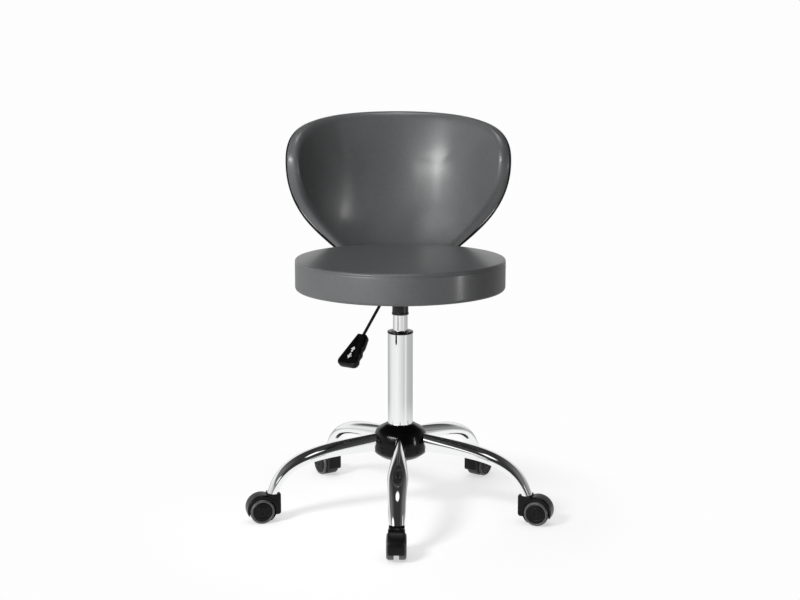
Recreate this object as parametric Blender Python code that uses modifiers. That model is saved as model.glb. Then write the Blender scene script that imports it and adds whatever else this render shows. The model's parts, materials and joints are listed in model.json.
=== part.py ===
"""Rolling stool with a wrap-around backrest: padded seat, gas column, five-legged star, twin-wheel casters.

Metres, +Z up, the sitter faces -Y. Heights add up from the floor: caster, leg, hub, tube, cylinder, seat.
The column's axis is the root empty, which is moved last so that the origin is under the middle of the stool.
"""

import math

import bmesh
import bpy
from mathutils import Matrix, Vector
from mathutils.geometry import interpolate_bezier

# Clearances
GAP = 0.0003  # between pieces that touch
RUN_GAP = 0.00025  # between a turning or sliding shaft and the flats of its bore

# Casters: the stem stands on the caster's own axis, the wheels trail behind it
CASTER_COUNT = 5
CASTER_HEIGHT = 0.056
CASTER_TRAIL = 0.023
BLOCK_WIDTH = 0.028
BLOCK_BACK = 0.0125
BLOCK_FRONT = 0.0115
BLOCK_LIFT = 0.016  # underside of the block above the floor
BLOCK_ROUND = 0.005
WEB_THICKNESS = 0.008
HOOD_RADIUS = 0.0285
HOOD_LIFT = 0.0035  # middle of the hood above the axle
HOOD_WIDTH = 0.031
HOOD_SIDES = 18
HOOD_CROWN = 0.0025  # fall of the hood's radius towards its sides
WHEEL_RADIUS = 0.024
WHEEL_WIDTH = 0.013
WHEEL_SIDES = 20
WHEEL_SIDE_GAP = 0.00075
WHEEL_ROUND_GAP = 0.0010  # between the tread and the hood that wraps it
WHEEL_CAP_RADIUS = 0.0176
WHEEL_CAP_RECESS = 0.0012
TREAD_ROUND = 0.0025
AXLE_RADIUS = 0.003
AXLE_BITE = 0.0085  # how far the axle reaches into each wheel
STEM_RADIUS = 0.0045
STEM_IN_BLOCK = 0.018
STEM_IN_LEG = 0.011
ROUND_PIN_STEPS = 12

# Star: legs in line with their casters
STAR_TURN = math.radians(-3.4)  # the star's front leg off the seat's forward line
STEM_CIRCLE = 0.252  # radius of the circle of stems
LEG_RISE = 0.0821  # root of the leg above its end
LEG_ROOT_HEIGHT = 0.039
LEG_ROOT_WIDTH = 0.020
LEG_FLARE_HEIGHT = 0.0222
LEG_FLARE_WIDTH = 0.037
LEG_FLARE_AT = 0.72  # share of the leg's path
LEG_END_DEPTH = 0.0215
LEG_END_WIDTH = 0.030
LEG_KNEE_REACH = 0.120  # first handle of the leg's curve, outwards
LEG_KNEE_DROP = 0.008
LEG_ANKLE_BACK = 0.024  # second handle, in from the stem
LEG_ANKLE_RISE = 0.0715
LEG_ROOT_LEVEL = 0.10  # share of the path in which the upright cut of the root fades
LEG_SINK = -0.03  # where cutters start, a little inside the core
LEG_WALL = 0.0016
LEG_STATIONS = 9
LEG_SIDES = 12

# Hub
CORE_RADIUS = 0.030
CORE_BELOW = 0.034  # under the middle of the leg's root
CORE_ABOVE = 0.022
HUB_RADIUS = 0.0535
HUB_BELOW = 0.032
HUB_ABOVE = 0.034
HUB_SHOULDER = 0.0135  # drop of the sloping top
HUB_COLLAR = 0.0045  # width of the level ring round the tube
HUB_FOOT_RADIUS = 0.037
HUB_FOOT_SLOPE = 0.0105
HUB_ROUND = 0.003

# Column
TUBE_RADIUS = 0.024
TUBE_WALL = 0.0015
TUBE_FOOT_RADIUS = 0.0225
TUBE_FLOOR = 0.003
CAP_HEIGHT = 0.0045
CAP_LIP = 0.0008  # the cap stands proud of the tube
BUSH_LENGTH = 0.085
CYLINDER_RADIUS = 0.014
CYLINDER_WALL = 0.0013
CYLINDER_SHOWN = 0.031  # bare cylinder between the cap and the socket
CYLINDER_LENGTH = 0.276
CYLINDER_CLEAR = 0.0018  # between the lowered cylinder and the rod's collar
CYLINDER_FOOT = 0.010
CYLINDER_HEAD = 0.034
CYLINDER_TAPER = 0.0010
ROD_RADIUS = 0.005
ROD_TAIL = 0.006
ROD_COLLAR_RADIUS = 0.0085
ROD_COLLAR_HEIGHT = 0.003
PISTON_HEIGHT = 0.012
LIFT_UP = 0.105
LIFT_DOWN = 0.025
LIFT_SPARE = 0.008  # left between the piston and the cylinder's head when the seat is lowest
BEARING_RADIUS = 0.012
BEARING_HEIGHT = 0.004
CLIP_RADIUS = 0.0085
CLIP_THICKNESS = 0.0012
CLIP_GROOVE = 0.0008
COLUMN_STEPS = 24
INNER_STEPS = 16  # for turned pieces that don't show

# Seat plate and lever
PLATE_SIDE = 0.150
PLATE_CORNER = 0.016
PLATE_THICKNESS = 0.003
SOCKET_LENGTH = 0.0492
SOCKET_RADIUS = 0.0154
SOCKET_LIP = 0.0008
SOCKET_LIP_HEIGHT = 0.004
SOCKET_GRIP = 0.032  # length of the cylinder's head inside the socket
LEVER_AZIMUTH = math.radians(233.0)
LEVER_ROD_RADIUS = 0.0028
LEVER_DROP = 0.0075  # rod's axis under the plate
LEVER_PIVOT_REACH = 0.0235
LEVER_BEND_REACH = 0.0509
LEVER_BEND_RADIUS = 0.012
LEVER_SLOPE = math.radians(42.7)
LEVER_LENGTH = 0.1185  # sloping run of the rod, from the bend to its end in the handle
LEVER_TIP_PAST = 0.003  # rod's inner end past the column's axis
LEVER_TRAVEL = math.radians(9.0)
EAR_THICKNESS = 0.002
EAR_LENGTH = 0.015
EAR_DROP = 0.0125
PIVOT_RADIUS = 0.0015
PIN_RADIUS = 0.003
PIN_DOME = 0.001
PIN_IN_HEAD = 0.012
PIN_BORE = 0.018
HANDLE_LENGTH = 0.069
HANDLE_NECK_WIDTH = 0.021
HANDLE_END_WIDTH = 0.042
HANDLE_THICKNESS = 0.014
HANDLE_GRIP = 0.026  # rod inside the handle
HANDLE_WAVE = 0.0022
HANDLE_WAVES = 3
HANDLE_CORNER = 0.009
HANDLE_EDGE = 0.0025

# Seat
SEAT_RADIUS = 0.200
SEAT_THICKNESS = 0.0585  # from the hem to the rim of the top
SEAT_CROWN = 0.003
SEAT_FLAT = 0.050  # radius of the level middle of the top
SEAT_EDGE = 0.008
SEAT_HEM = 0.005
SEAT_BULGE = 0.0008
HEM_REACH = 0.032
COVER_THICKNESS = 0.0012
SEAT_BOARD_THICKNESS = 0.012
SEAT_BOARD_INSET = 0.006
SEAT_STEPS = 40

# Backrest: an outline drawn on the flat, then wrapped round an upright axis behind the sitter
BACK_CLEAR = 0.004  # more than the seat's own radius
BACK_RADIUS = SEAT_RADIUS + BACK_CLEAR  # of the inner face
BACK_AXIS_Y = 0.006
BACK_LEAN = math.tan(math.radians(3.0))
BACK_TOP = 0.2647  # over the rim of the seat
BACK_WIDEST = 0.1767
BACK_BOTTOM = -0.0403
BACK_HALF_WIDTH = 0.294  # along the outer face
BACK_FOOT_HALF_WIDTH = 0.119
BACK_FOOT_RISE = 0.020
BACK_FLANK = 0.127  # how far the sloping flank is drawn out at its foot
BACK_PAD = 0.0245
BACK_PAD_POCKET = 0.0085
BACK_POCKET_SHARE = 0.945
BACK_BOARD_SHARE = 0.940
BACK_COVER = 0.0052
BACK_COVER_SHARE = 0.990
BACK_TOP_DRAW = 0.68  # how far the top runs level, as a share of the half width
BACK_SHOULDER_DRAW = 0.66  # how far the side runs upright, as a share of its height
BACK_RINGS = (0.15, 0.3, 0.45, 0.6, 0.75, 0.86)

# Bracket from the seat to the back
BRACKET_WIDTH = 0.045
BRACKET_THICKNESS = 0.005
BRACKET_CLEAR = 0.008  # behind the seat plate
BRACKET_BEND = 0.016
BRACKET_TOP = 0.110  # over the rim of the seat
BOLT_RADIUS = 0.003
BOLT_STEPS = 10
BOLT_HEAD_RADIUS = 0.0065
BOLT_HEAD = 0.0045
BOLT_BITE = 0.008  # into the board
PLATE_BOLT_SPACING = 0.120
BRACKET_END = 0.020  # from the bracket's front end to its first bolt
HEM_BOLT_CLEAR = 0.015  # from the hem to the middle of the second bolt
BACK_BOLTS_AT = (0.040, 0.090)  # over the rim of the seat

# Heights that follow
AXLE_Z = WHEEL_RADIUS * math.cos(math.pi / WHEEL_SIDES)
LEG_END_Z = CASTER_HEIGHT + GAP
LEG_ROOT_Z = LEG_END_Z + LEG_RISE
HUB_TOP_Z = LEG_ROOT_Z + HUB_ABOVE
HUB_BOTTOM_Z = LEG_ROOT_Z - HUB_BELOW
CORE_TOP_Z = LEG_ROOT_Z + CORE_ABOVE
CORE_BOTTOM_Z = LEG_ROOT_Z - CORE_BELOW
TUBE_BOTTOM_Z = CORE_BOTTOM_Z
ROD_STACK = TUBE_FLOOR + GAP + BEARING_HEIGHT + GAP + ROD_COLLAR_HEIGHT
CYLINDER_ROOM = ROD_STACK + LIFT_DOWN + CYLINDER_CLEAR
CYLINDER_OUT = GAP + CAP_HEIGHT + CYLINDER_SHOWN + SOCKET_GRIP  # of the tube
TUBE_TOP_Z = TUBE_BOTTOM_Z + CYLINDER_ROOM + CYLINDER_LENGTH - CYLINDER_OUT
CAP_TOP_Z = TUBE_TOP_Z + GAP + CAP_HEIGHT
SOCKET_BOTTOM_Z = CAP_TOP_Z + CYLINDER_SHOWN
PLATE_BOTTOM_Z = SOCKET_BOTTOM_Z + SOCKET_LENGTH
PLATE_TOP_Z = PLATE_BOTTOM_Z + PLATE_THICKNESS
CYLINDER_TOP_Z = SOCKET_BOTTOM_Z + SOCKET_GRIP
CYLINDER_BOTTOM_Z = CYLINDER_TOP_Z - CYLINDER_LENGTH
LEVER_Z = PLATE_BOTTOM_Z - LEVER_DROP
BOARD_BOTTOM_Z = PLATE_TOP_Z + GAP
BOARD_TOP_Z = BOARD_BOTTOM_Z + SEAT_BOARD_THICKNESS
HEM_Z = BOARD_BOTTOM_Z - GAP - COVER_THICKNESS
SEAT_RIM_Z = HEM_Z + SEAT_THICKNESS
BRACKET_Z = HEM_Z - GAP - BRACKET_THICKNESS / 2
BRACKET_FRONT_Y = PLATE_SIDE / 2 + BRACKET_CLEAR
SEAT_BOLTS_Y = (BRACKET_FRONT_Y + BRACKET_END, SEAT_RADIUS - HEM_REACH - HEM_BOLT_CLEAR)

# Colours, roughness and metallic value of each finish
FINISHES = {
    "seat_leather": ((0.115, 0.118, 0.121), 0.42, 0.0),
    "seat_foam": ((0.80, 0.74, 0.52), 0.95, 0.0),
    "plywood": ((0.52, 0.38, 0.23), 0.70, 0.0),
    "chrome": ((0.80, 0.81, 0.82), 0.07, 1.0),
    "black_plastic": ((0.012, 0.012, 0.013), 0.35, 0.0),
    "wheel_tread": ((0.030, 0.030, 0.031), 0.50, 0.0),
    "black_steel": ((0.015, 0.015, 0.016), 0.40, 0.6),
    "bright_steel": ((0.55, 0.56, 0.57), 0.30, 1.0),
    "bush_plastic": ((0.70, 0.70, 0.68), 0.50, 0.0),
}


def clear_scene():
    for obj in list(bpy.data.objects):
        bpy.data.objects.remove(obj)


def add_collection(name):
    collection = bpy.data.collections.new(name)
    bpy.context.scene.collection.children.link(collection)
    return collection


clear_scene()
PARTS = add_collection("rolling_stool")
WORK = add_collection("construction")


def finish(name):
    if name in bpy.data.materials:
        return bpy.data.materials[name]
    colour, roughness, metallic = FINISHES[name]
    material = bpy.data.materials.new(name)
    material.use_nodes = True
    shader = material.node_tree.nodes["Principled BSDF"]
    shader.inputs["Base Color"].default_value = (*colour, 1.0)
    shader.inputs["Roughness"].default_value = roughness
    shader.inputs["Metallic"].default_value = metallic
    return material


def work_object(data):
    obj = bpy.data.objects.new("work", data)
    WORK.objects.link(obj)
    return obj


def cleaned(mesh):
    """The mesh with its doubled points welded and its faces turned outwards."""
    shape = bmesh.new()
    shape.from_mesh(mesh)
    bmesh.ops.remove_doubles(shape, verts=shape.verts, dist=1e-6)
    bmesh.ops.dissolve_degenerate(shape, edges=shape.edges, dist=1e-7)
    bmesh.ops.recalc_face_normals(shape, faces=shape.faces)
    shape.to_mesh(mesh)
    shape.free()
    return mesh


def short_triangles(mesh):
    """The mesh in triangles, each quad split on its shorter diagonal, so that layers split alike."""
    shape = bmesh.new()
    shape.from_mesh(mesh)
    bmesh.ops.triangulate(shape, faces=shape.faces, quad_method="SHORT_EDGE")
    shape.to_mesh(mesh)
    shape.free()
    return mesh


def baked(obj):
    """The object's evaluated mesh. The object itself is removed."""
    bpy.context.view_layer.update()
    graph = bpy.context.evaluated_depsgraph_get()
    mesh = bpy.data.meshes.new_from_object(obj.evaluated_get(graph))
    bpy.data.objects.remove(obj)
    return cleaned(mesh)


def turned(profile, steps, closed=False):
    """A shape turned about Z. The profile, as (radius, height), runs down its outer side."""
    count = len(profile)
    edges = [(i, i + 1) for i in range(count - 1)]
    if closed:
        edges.append((count - 1, 0))
    mesh = bpy.data.meshes.new("profile")
    mesh.from_pydata([(radius, 0.0, height) for radius, height in profile], edges, [])
    obj = work_object(mesh)
    screw = obj.modifiers.new("turn", "SCREW")
    screw.axis = "Z"
    screw.steps = steps
    screw.render_steps = steps
    screw.use_merge_vertices = True
    screw.merge_threshold = 0.00001
    return baked(obj)


def extruded(outline, thickness, edge=0.0):
    """A flat outline in XY, thickened evenly about Z = 0, its edges rounded by the given width."""
    curve = bpy.data.curves.new("outline", "CURVE")
    curve.dimensions = "2D"
    curve.fill_mode = "BOTH"
    curve.extrude = thickness / 2
    spline = curve.splines.new("POLY")
    spline.points.add(len(outline) - 1)
    for point, (x, y) in zip(spline.points, outline):
        point.co = (x, y, 0.0, 1.0)
    spline.use_cyclic_u = True
    mesh = baked(work_object(curve))
    if not edge:
        return mesh
    obj = work_object(mesh)
    bevel = obj.modifiers.new("edge", "BEVEL")
    bevel.width = edge
    bevel.segments = 2
    bevel.limit_method = "ANGLE"
    bevel.angle_limit = math.radians(50)
    return baked(obj)


def cylinder(radius, low, high, steps=ROUND_PIN_STEPS):
    return turned([(0, high), (radius, high), (radius, low), (0, low)], steps)


def box(low, high):
    shape = bmesh.new()
    size = Vector(high) - Vector(low)
    middle = (Vector(high) + Vector(low)) / 2
    bmesh.ops.create_cube(shape, size=1.0, matrix=Matrix.Translation(middle) @ Matrix.Diagonal((*size, 1.0)))
    mesh = bpy.data.meshes.new("box")
    shape.to_mesh(mesh)
    shape.free()
    return mesh


def carved(mesh, joins=(), cuts=()):
    """The mesh with others joined to it and then others cut from it, each given with its matrix."""
    obj = work_object(mesh)
    helpers = []
    for operation, others in (("UNION", joins), ("DIFFERENCE", cuts)):
        for other, matrix in others:
            helper = work_object(other)
            helper.matrix_world = matrix
            helper.hide_render = True
            helper.display_type = "WIRE"
            helpers.append(helper)
            boolean = obj.modifiers.new(operation.lower(), "BOOLEAN")
            boolean.operation = operation
            boolean.solver = "EXACT"
            boolean.object = helper
    result = baked(obj)
    for helper in helpers:
        bpy.data.objects.remove(helper)
    return result


def empty(name, parent, location, turn=0.0):
    obj = bpy.data.objects.new(name, None)
    obj.empty_display_size = 0.02
    PARTS.objects.link(obj)
    obj.parent = parent
    obj.location = location
    obj.rotation_euler = (0.0, 0.0, turn)
    return obj


def place(name, mesh, finish_name, parent, location=(0.0, 0.0, 0.0), rotation=(0.0, 0.0, 0.0), sharp=35):
    """A finished piece: smooth shaded, with sharp edges kept, under its parent empty."""
    obj = bpy.data.objects.new(name, mesh)
    PARTS.objects.link(obj)
    obj.parent = parent
    obj.location = location
    obj.rotation_euler = rotation
    mesh.materials.clear()
    mesh.materials.append(finish(finish_name))
    mesh.shade_smooth()
    mesh.set_sharp_from_angle(angle=math.radians(sharp))
    return obj


def shift(x=0.0, y=0.0, z=0.0):
    return Matrix.Translation((x, y, z))


def about_z(angle):
    return Matrix.Rotation(angle, 4, "Z")


def lying_along_y():
    return Matrix.Rotation(math.radians(-90), 4, "X")


def bore(shaft_radius, steps):
    """Radius of a faceted bore whose flats stand clear of a shaft."""
    return (shaft_radius + RUN_GAP) / math.cos(math.pi / steps)


def arc(x, y, radius, start, end, count):
    """Points on an arc, both ends included, with the angles in degrees."""
    angles = [math.radians(start + (end - start) * i / count) for i in range(count + 1)]
    return [(x + radius * math.cos(angle), y + radius * math.sin(angle)) for angle in angles]


def smooth_share(share):
    return share * share * (3 - 2 * share)


# Legs

def leg_curve(share):
    """Middle of the leg as (reach from the column, height) at a share of its path."""
    root = Vector((CORE_RADIUS + GAP, LEG_ROOT_Z))
    end = Vector((STEM_CIRCLE, LEG_END_Z))
    knee = root + Vector((LEG_KNEE_REACH, -LEG_KNEE_DROP))
    ankle = end + Vector((-LEG_ANKLE_BACK, LEG_ANKLE_RISE))
    rest = 1 - share
    return rest**3 * root + 3 * rest**2 * share * knee + 3 * rest * share**2 * ankle + share**3 * end


def leg_section(share):
    """Half height and half width of the leg at a share of its path."""
    if share < LEG_FLARE_AT:
        blend = (max(share, 0.0) / LEG_FLARE_AT) ** 0.6
        height = LEG_ROOT_HEIGHT + (LEG_FLARE_HEIGHT - LEG_ROOT_HEIGHT) * blend
        width = LEG_ROOT_WIDTH + (LEG_FLARE_WIDTH - LEG_ROOT_WIDTH) * blend
    else:
        blend = smooth_share((share - LEG_FLARE_AT) / (1 - LEG_FLARE_AT))
        height = LEG_FLARE_HEIGHT + (LEG_END_DEPTH - LEG_FLARE_HEIGHT) * blend
        width = LEG_FLARE_WIDTH + (LEG_END_WIDTH - LEG_FLARE_WIDTH) * blend
    return height / 2, width / 2


def leg_loft(shares, sides, grow=0.0):
    """A closed loft along the leg, its sections grown or shrunk evenly.

    The leg's root is cut upright, against the hub's core, and its end level, on the caster.
    """
    shape = bmesh.new()
    rings = []
    for share in shares:
        middle = leg_curve(share)
        ahead = leg_curve(share + 0.01) - leg_curve(share - 0.01)
        tilt = math.atan2(ahead.y, ahead.x)
        level = smooth_share(min(max((share - LEG_FLARE_AT) / (1 - LEG_FLARE_AT), 0.0), 1.0))
        tilt += (math.radians(-90) - tilt) * level
        tilt *= min(max(share / LEG_ROOT_LEVEL, 0.0), 1.0)
        half_height, half_width = leg_section(share)
        ring = []
        for i in range(sides):
            angle = 2 * math.pi * (i + 0.5) / sides
            up = (half_height + grow) * math.sin(angle)
            across = (half_width + grow) * math.cos(angle)
            place_x = middle.x - up * math.sin(tilt)
            place_z = middle.y + up * math.cos(tilt)
            ring.append(shape.verts.new((place_x, across, place_z)))
        rings.append(ring)
    for ring, following in zip(rings, rings[1:]):
        for i in range(sides):
            after = (i + 1) % sides
            shape.faces.new((ring[i], ring[after], following[after], following[i]))
    shape.faces.new(rings[0])
    shape.faces.new(rings[-1])
    mesh = bpy.data.meshes.new("leg")
    shape.to_mesh(mesh)
    shape.free()
    return short_triangles(cleaned(mesh))


def spread(start, end, count):
    return [start + (end - start) * i / (count - 1) for i in range(count)]


def leg_mesh():
    hollow_end = 0.84
    hollow = leg_loft([LEG_SINK, *spread(0.0, hollow_end, LEG_STATIONS - 2)], LEG_SIDES - 4, -LEG_WALL)
    stem_bore = cylinder(bore(STEM_RADIUS, ROUND_PIN_STEPS), LEG_END_Z - GAP, LEG_END_Z + STEM_IN_LEG + GAP)
    return carved(
        leg_loft(spread(0.0, 1.0, LEG_STATIONS), LEG_SIDES),
        cuts=[(hollow, Matrix()), (stem_bore, shift(x=STEM_CIRCLE))],
    )


# Casters, each in its own frame: X trails away from the stem, Y is along the axle

def caster_body_mesh():
    """Neck block, and a barrel-shaped hood whose middle stays whole as the web between the wheels."""
    block_outline = [
        (BLOCK_FRONT, BLOCK_LIFT),
        (BLOCK_FRONT, CASTER_HEIGHT),
        (-BLOCK_BACK, CASTER_HEIGHT),
        *arc(BLOCK_ROUND - BLOCK_BACK, BLOCK_LIFT + BLOCK_ROUND, BLOCK_ROUND, 180, 270, 3),
    ]
    # The outline is drawn in X and Z and stands up about X, so that it thickens along Y.
    block = extruded(block_outline, BLOCK_WIDTH)
    block.transform(Matrix.Rotation(math.radians(90), 4, "X"))
    half = HOOD_WIDTH / 2
    side = HOOD_RADIUS - HOOD_CROWN
    hood = turned([(0, half), (side, half), (HOOD_RADIUS, 0), (side, -half), (0, -half)], HOOD_SIDES)
    below_hood = box((0.0, -HOOD_WIDTH, -HOOD_WIDTH), (2 * HOOD_RADIUS, HOOD_WIDTH, BLOCK_LIFT + GAP))
    below_hood.transform(shift(x=BLOCK_FRONT - BLOCK_ROUND))
    wheel_room = cylinder(
        bore(WHEEL_RADIUS, WHEEL_SIDES) + WHEEL_ROUND_GAP, WEB_THICKNESS / 2, HOOD_WIDTH, WHEEL_SIDES
    )
    stem_bore = cylinder(
        bore(STEM_RADIUS, ROUND_PIN_STEPS), CASTER_HEIGHT - STEM_IN_BLOCK - GAP, CASTER_HEIGHT + GAP
    )
    axle_bore = cylinder(AXLE_RADIUS + GAP, -WEB_THICKNESS, WEB_THICKNESS)
    axle_place = shift(x=CASTER_TRAIL, z=AXLE_Z) @ lying_along_y()
    half_turn = Matrix.Rotation(math.pi, 4, "X")
    return carved(
        block,
        joins=[(hood, shift(z=HOOD_LIFT) @ axle_place)],
        cuts=[
            (below_hood, Matrix()),
            (wheel_room, axle_place),
            (wheel_room.copy(), axle_place @ half_turn),
            (stem_bore, Matrix()),
            (axle_bore, axle_place),
        ],
    )


def wheel_mesh():
    """A wheel turned about Z, its outer face up, with a flat of its tread towards each axis."""
    inner = WEB_THICKNESS / 2 + WHEEL_SIDE_GAP
    outer = inner + WHEEL_WIDTH
    axle_hole = bore(AXLE_RADIUS, WHEEL_SIDES)
    axle_end = WEB_THICKNESS / 2 + WHEEL_SIDE_GAP + AXLE_BITE + GAP
    profile = [
        (0, outer - WHEEL_CAP_RECESS / 2),
        (WHEEL_CAP_RADIUS, outer - WHEEL_CAP_RECESS),
        (WHEEL_CAP_RADIUS + WHEEL_CAP_RECESS, outer),
        (WHEEL_RADIUS - TREAD_ROUND, outer),
        (WHEEL_RADIUS, outer - TREAD_ROUND),
        (WHEEL_RADIUS, inner),
        (axle_hole, inner),
        (axle_hole, axle_end),
        (0, axle_end),
    ]
    mesh = turned(profile, WHEEL_SIDES)
    mesh.transform(about_z(math.pi / WHEEL_SIDES))
    return mesh


def stem_mesh():
    return cylinder(STEM_RADIUS, CASTER_HEIGHT - STEM_IN_BLOCK, LEG_END_Z + STEM_IN_LEG)


def axle_mesh():
    half = WEB_THICKNESS / 2 + WHEEL_SIDE_GAP + AXLE_BITE
    return cylinder(AXLE_RADIUS, -half, half)


# Hub and column

def tube_radius_at(height):
    """The stand tube tapers inside the hub."""
    share = (height - TUBE_BOTTOM_Z) / (HUB_TOP_Z - TUBE_BOTTOM_Z)
    return TUBE_FOOT_RADIUS + (TUBE_RADIUS - TUBE_FOOT_RADIUS) * min(share, 1.0)


def hub_core_mesh():
    profile = [
        (CORE_RADIUS, CORE_TOP_Z),
        (CORE_RADIUS, CORE_BOTTOM_Z),
        (tube_radius_at(CORE_BOTTOM_Z) + GAP, CORE_BOTTOM_Z),
        (tube_radius_at(CORE_TOP_Z) + GAP, CORE_TOP_Z),
    ]
    return turned(profile, COLUMN_STEPS, closed=True)


def hub_shell_mesh():
    collar = TUBE_RADIUS + GAP + HUB_COLLAR
    core_bore = CORE_RADIUS + GAP
    shoulder_z = HUB_TOP_Z - HUB_SHOULDER
    foot_z = HUB_BOTTOM_Z + HUB_FOOT_SLOPE
    profile = [
        (tube_radius_at(HUB_TOP_Z) + GAP, HUB_TOP_Z),
        (collar, HUB_TOP_Z),
        (HUB_RADIUS - HUB_ROUND, shoulder_z + HUB_ROUND / 2),
        (HUB_RADIUS - HUB_ROUND / 4, shoulder_z - HUB_ROUND / 2),
        (HUB_RADIUS, (shoulder_z + foot_z) / 2),
        (HUB_RADIUS - HUB_ROUND / 2, foot_z + HUB_ROUND / 2),
        (HUB_RADIUS - HUB_ROUND, foot_z - HUB_ROUND / 2),
        (HUB_FOOT_RADIUS, HUB_BOTTOM_Z),
        (core_bore, HUB_BOTTOM_Z),
        (core_bore, CORE_TOP_Z + GAP),
        (tube_radius_at(CORE_TOP_Z) + GAP, CORE_TOP_Z + GAP),
    ]
    leg_space = leg_loft([LEG_SINK, *spread(0.0, 1.0, LEG_STATIONS)[:2]], LEG_SIDES, GAP)
    cuts = [(leg_space.copy(), about_z(leg_angle(i))) for i in range(CASTER_COUNT)]
    return carved(turned(profile, COLUMN_STEPS, closed=True), cuts=cuts)


def leg_angle(index):
    """Azimuth of a leg, the first one under the sitter's knees."""
    return math.radians(-90) + STAR_TURN + 2 * math.pi * index / CASTER_COUNT


def stand_tube_mesh():
    rod_hole = bore(ROD_RADIUS, COLUMN_STEPS)
    floor_z = TUBE_BOTTOM_Z + TUBE_FLOOR
    profile = [
        (TUBE_RADIUS, TUBE_TOP_Z),
        (TUBE_RADIUS, HUB_TOP_Z),
        (TUBE_FOOT_RADIUS, TUBE_BOTTOM_Z),
        (rod_hole, TUBE_BOTTOM_Z),
        (rod_hole, floor_z),
        (TUBE_FOOT_RADIUS - TUBE_WALL, floor_z),
        (TUBE_RADIUS - TUBE_WALL, HUB_TOP_Z),
        (TUBE_RADIUS - TUBE_WALL, TUBE_TOP_Z),
    ]
    return turned(profile, COLUMN_STEPS, closed=True)


def guide_bush_mesh():
    outer = TUBE_RADIUS - TUBE_WALL - GAP
    inner = bore(CYLINDER_RADIUS, INNER_STEPS)
    profile = [(outer, TUBE_TOP_Z), (outer, TUBE_TOP_Z - BUSH_LENGTH)]
    profile += [(inner, TUBE_TOP_Z - BUSH_LENGTH), (inner, TUBE_TOP_Z)]
    return turned(profile, INNER_STEPS, closed=True)


def tube_cap_mesh():
    inner = bore(CYLINDER_RADIUS, COLUMN_STEPS)
    outer = TUBE_RADIUS + CAP_LIP
    bottom = TUBE_TOP_Z + GAP
    profile = [
        (inner, CAP_TOP_Z),
        (outer - CAP_HEIGHT / 2, CAP_TOP_Z),
        (outer, CAP_TOP_Z - CAP_HEIGHT / 2),
        (outer, bottom),
        (inner, bottom),
    ]
    return turned(profile, COLUMN_STEPS, closed=True)


def cylinder_mesh():
    hollow_radius = CYLINDER_RADIUS - CYLINDER_WALL
    rod_hole = bore(ROD_RADIUS, COLUMN_STEPS)
    pin_hole = bore(PIN_RADIUS, COLUMN_STEPS)
    hollow_top = CYLINDER_TOP_Z - CYLINDER_HEAD
    hollow_bottom = CYLINDER_BOTTOM_Z + CYLINDER_FOOT
    pin_floor = CYLINDER_TOP_Z - PIN_BORE
    profile = [
        (0, pin_floor),
        (pin_hole, pin_floor),
        (pin_hole, CYLINDER_TOP_Z),
        (CYLINDER_RADIUS - CYLINDER_TAPER, CYLINDER_TOP_Z),
        (CYLINDER_RADIUS, SOCKET_BOTTOM_Z),
        (CYLINDER_RADIUS, CYLINDER_BOTTOM_Z),
        (rod_hole, CYLINDER_BOTTOM_Z),
        (rod_hole, hollow_bottom),
        (hollow_radius, hollow_bottom),
        (hollow_radius, hollow_top),
        (0, hollow_top),
    ]
    return turned(profile, COLUMN_STEPS)


def piston_rod_mesh():
    """The rod hangs on its collar, turns on the thrust bearing and is held under the tube by a clip."""
    piston_radius = (CYLINDER_RADIUS - CYLINDER_WALL) * math.cos(math.pi / COLUMN_STEPS) - RUN_GAP
    piston_top = CYLINDER_TOP_Z - CYLINDER_HEAD - LIFT_DOWN - LIFT_SPARE
    collar_bottom = TUBE_BOTTOM_Z + TUBE_FLOOR + GAP + BEARING_HEIGHT + GAP
    clip_top = TUBE_BOTTOM_Z - GAP
    clip_bottom = clip_top - CLIP_THICKNESS
    groove = ROD_RADIUS - CLIP_GROOVE
    profile = [
        (0, piston_top),
        (piston_radius, piston_top),
        (piston_radius, piston_top - PISTON_HEIGHT),
        (ROD_RADIUS, piston_top - PISTON_HEIGHT),
        (ROD_RADIUS, collar_bottom + ROD_COLLAR_HEIGHT),
        (ROD_COLLAR_RADIUS, collar_bottom + ROD_COLLAR_HEIGHT),
        (ROD_COLLAR_RADIUS, collar_bottom),
        (ROD_RADIUS, collar_bottom),
        (ROD_RADIUS, clip_top + GAP),
        (groove, clip_top + GAP),
        (groove, clip_bottom - GAP),
        (ROD_RADIUS, clip_bottom - GAP),
        (ROD_RADIUS, TUBE_BOTTOM_Z - ROD_TAIL),
        (0, TUBE_BOTTOM_Z - ROD_TAIL),
    ]
    return turned(profile, INNER_STEPS)


def thrust_bearing_mesh():
    bottom = TUBE_BOTTOM_Z + TUBE_FLOOR + GAP
    inner = bore(ROD_RADIUS, INNER_STEPS)
    profile = [(BEARING_RADIUS, bottom + BEARING_HEIGHT), (BEARING_RADIUS, bottom)]
    profile += [(inner, bottom), (inner, bottom + BEARING_HEIGHT)]
    return turned(profile, INNER_STEPS, closed=True)


def rod_clip_mesh():
    top = TUBE_BOTTOM_Z - GAP
    inner = bore(ROD_RADIUS - CLIP_GROOVE, INNER_STEPS)
    profile = [(CLIP_RADIUS, top), (CLIP_RADIUS, top - CLIP_THICKNESS)]
    profile += [(inner, top - CLIP_THICKNESS), (inner, top)]
    return turned(profile, INNER_STEPS, closed=True)


# Seat plate and lever

def rounded_square(side, corner):
    reach = side / 2 - corner
    points = []
    for start, (x, y) in zip((0, 90, 180, 270), ((1, 1), (-1, 1), (-1, -1), (1, -1))):
        points += arc(x * reach, y * reach, corner, start, start + 90, 4)
    return points


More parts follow.
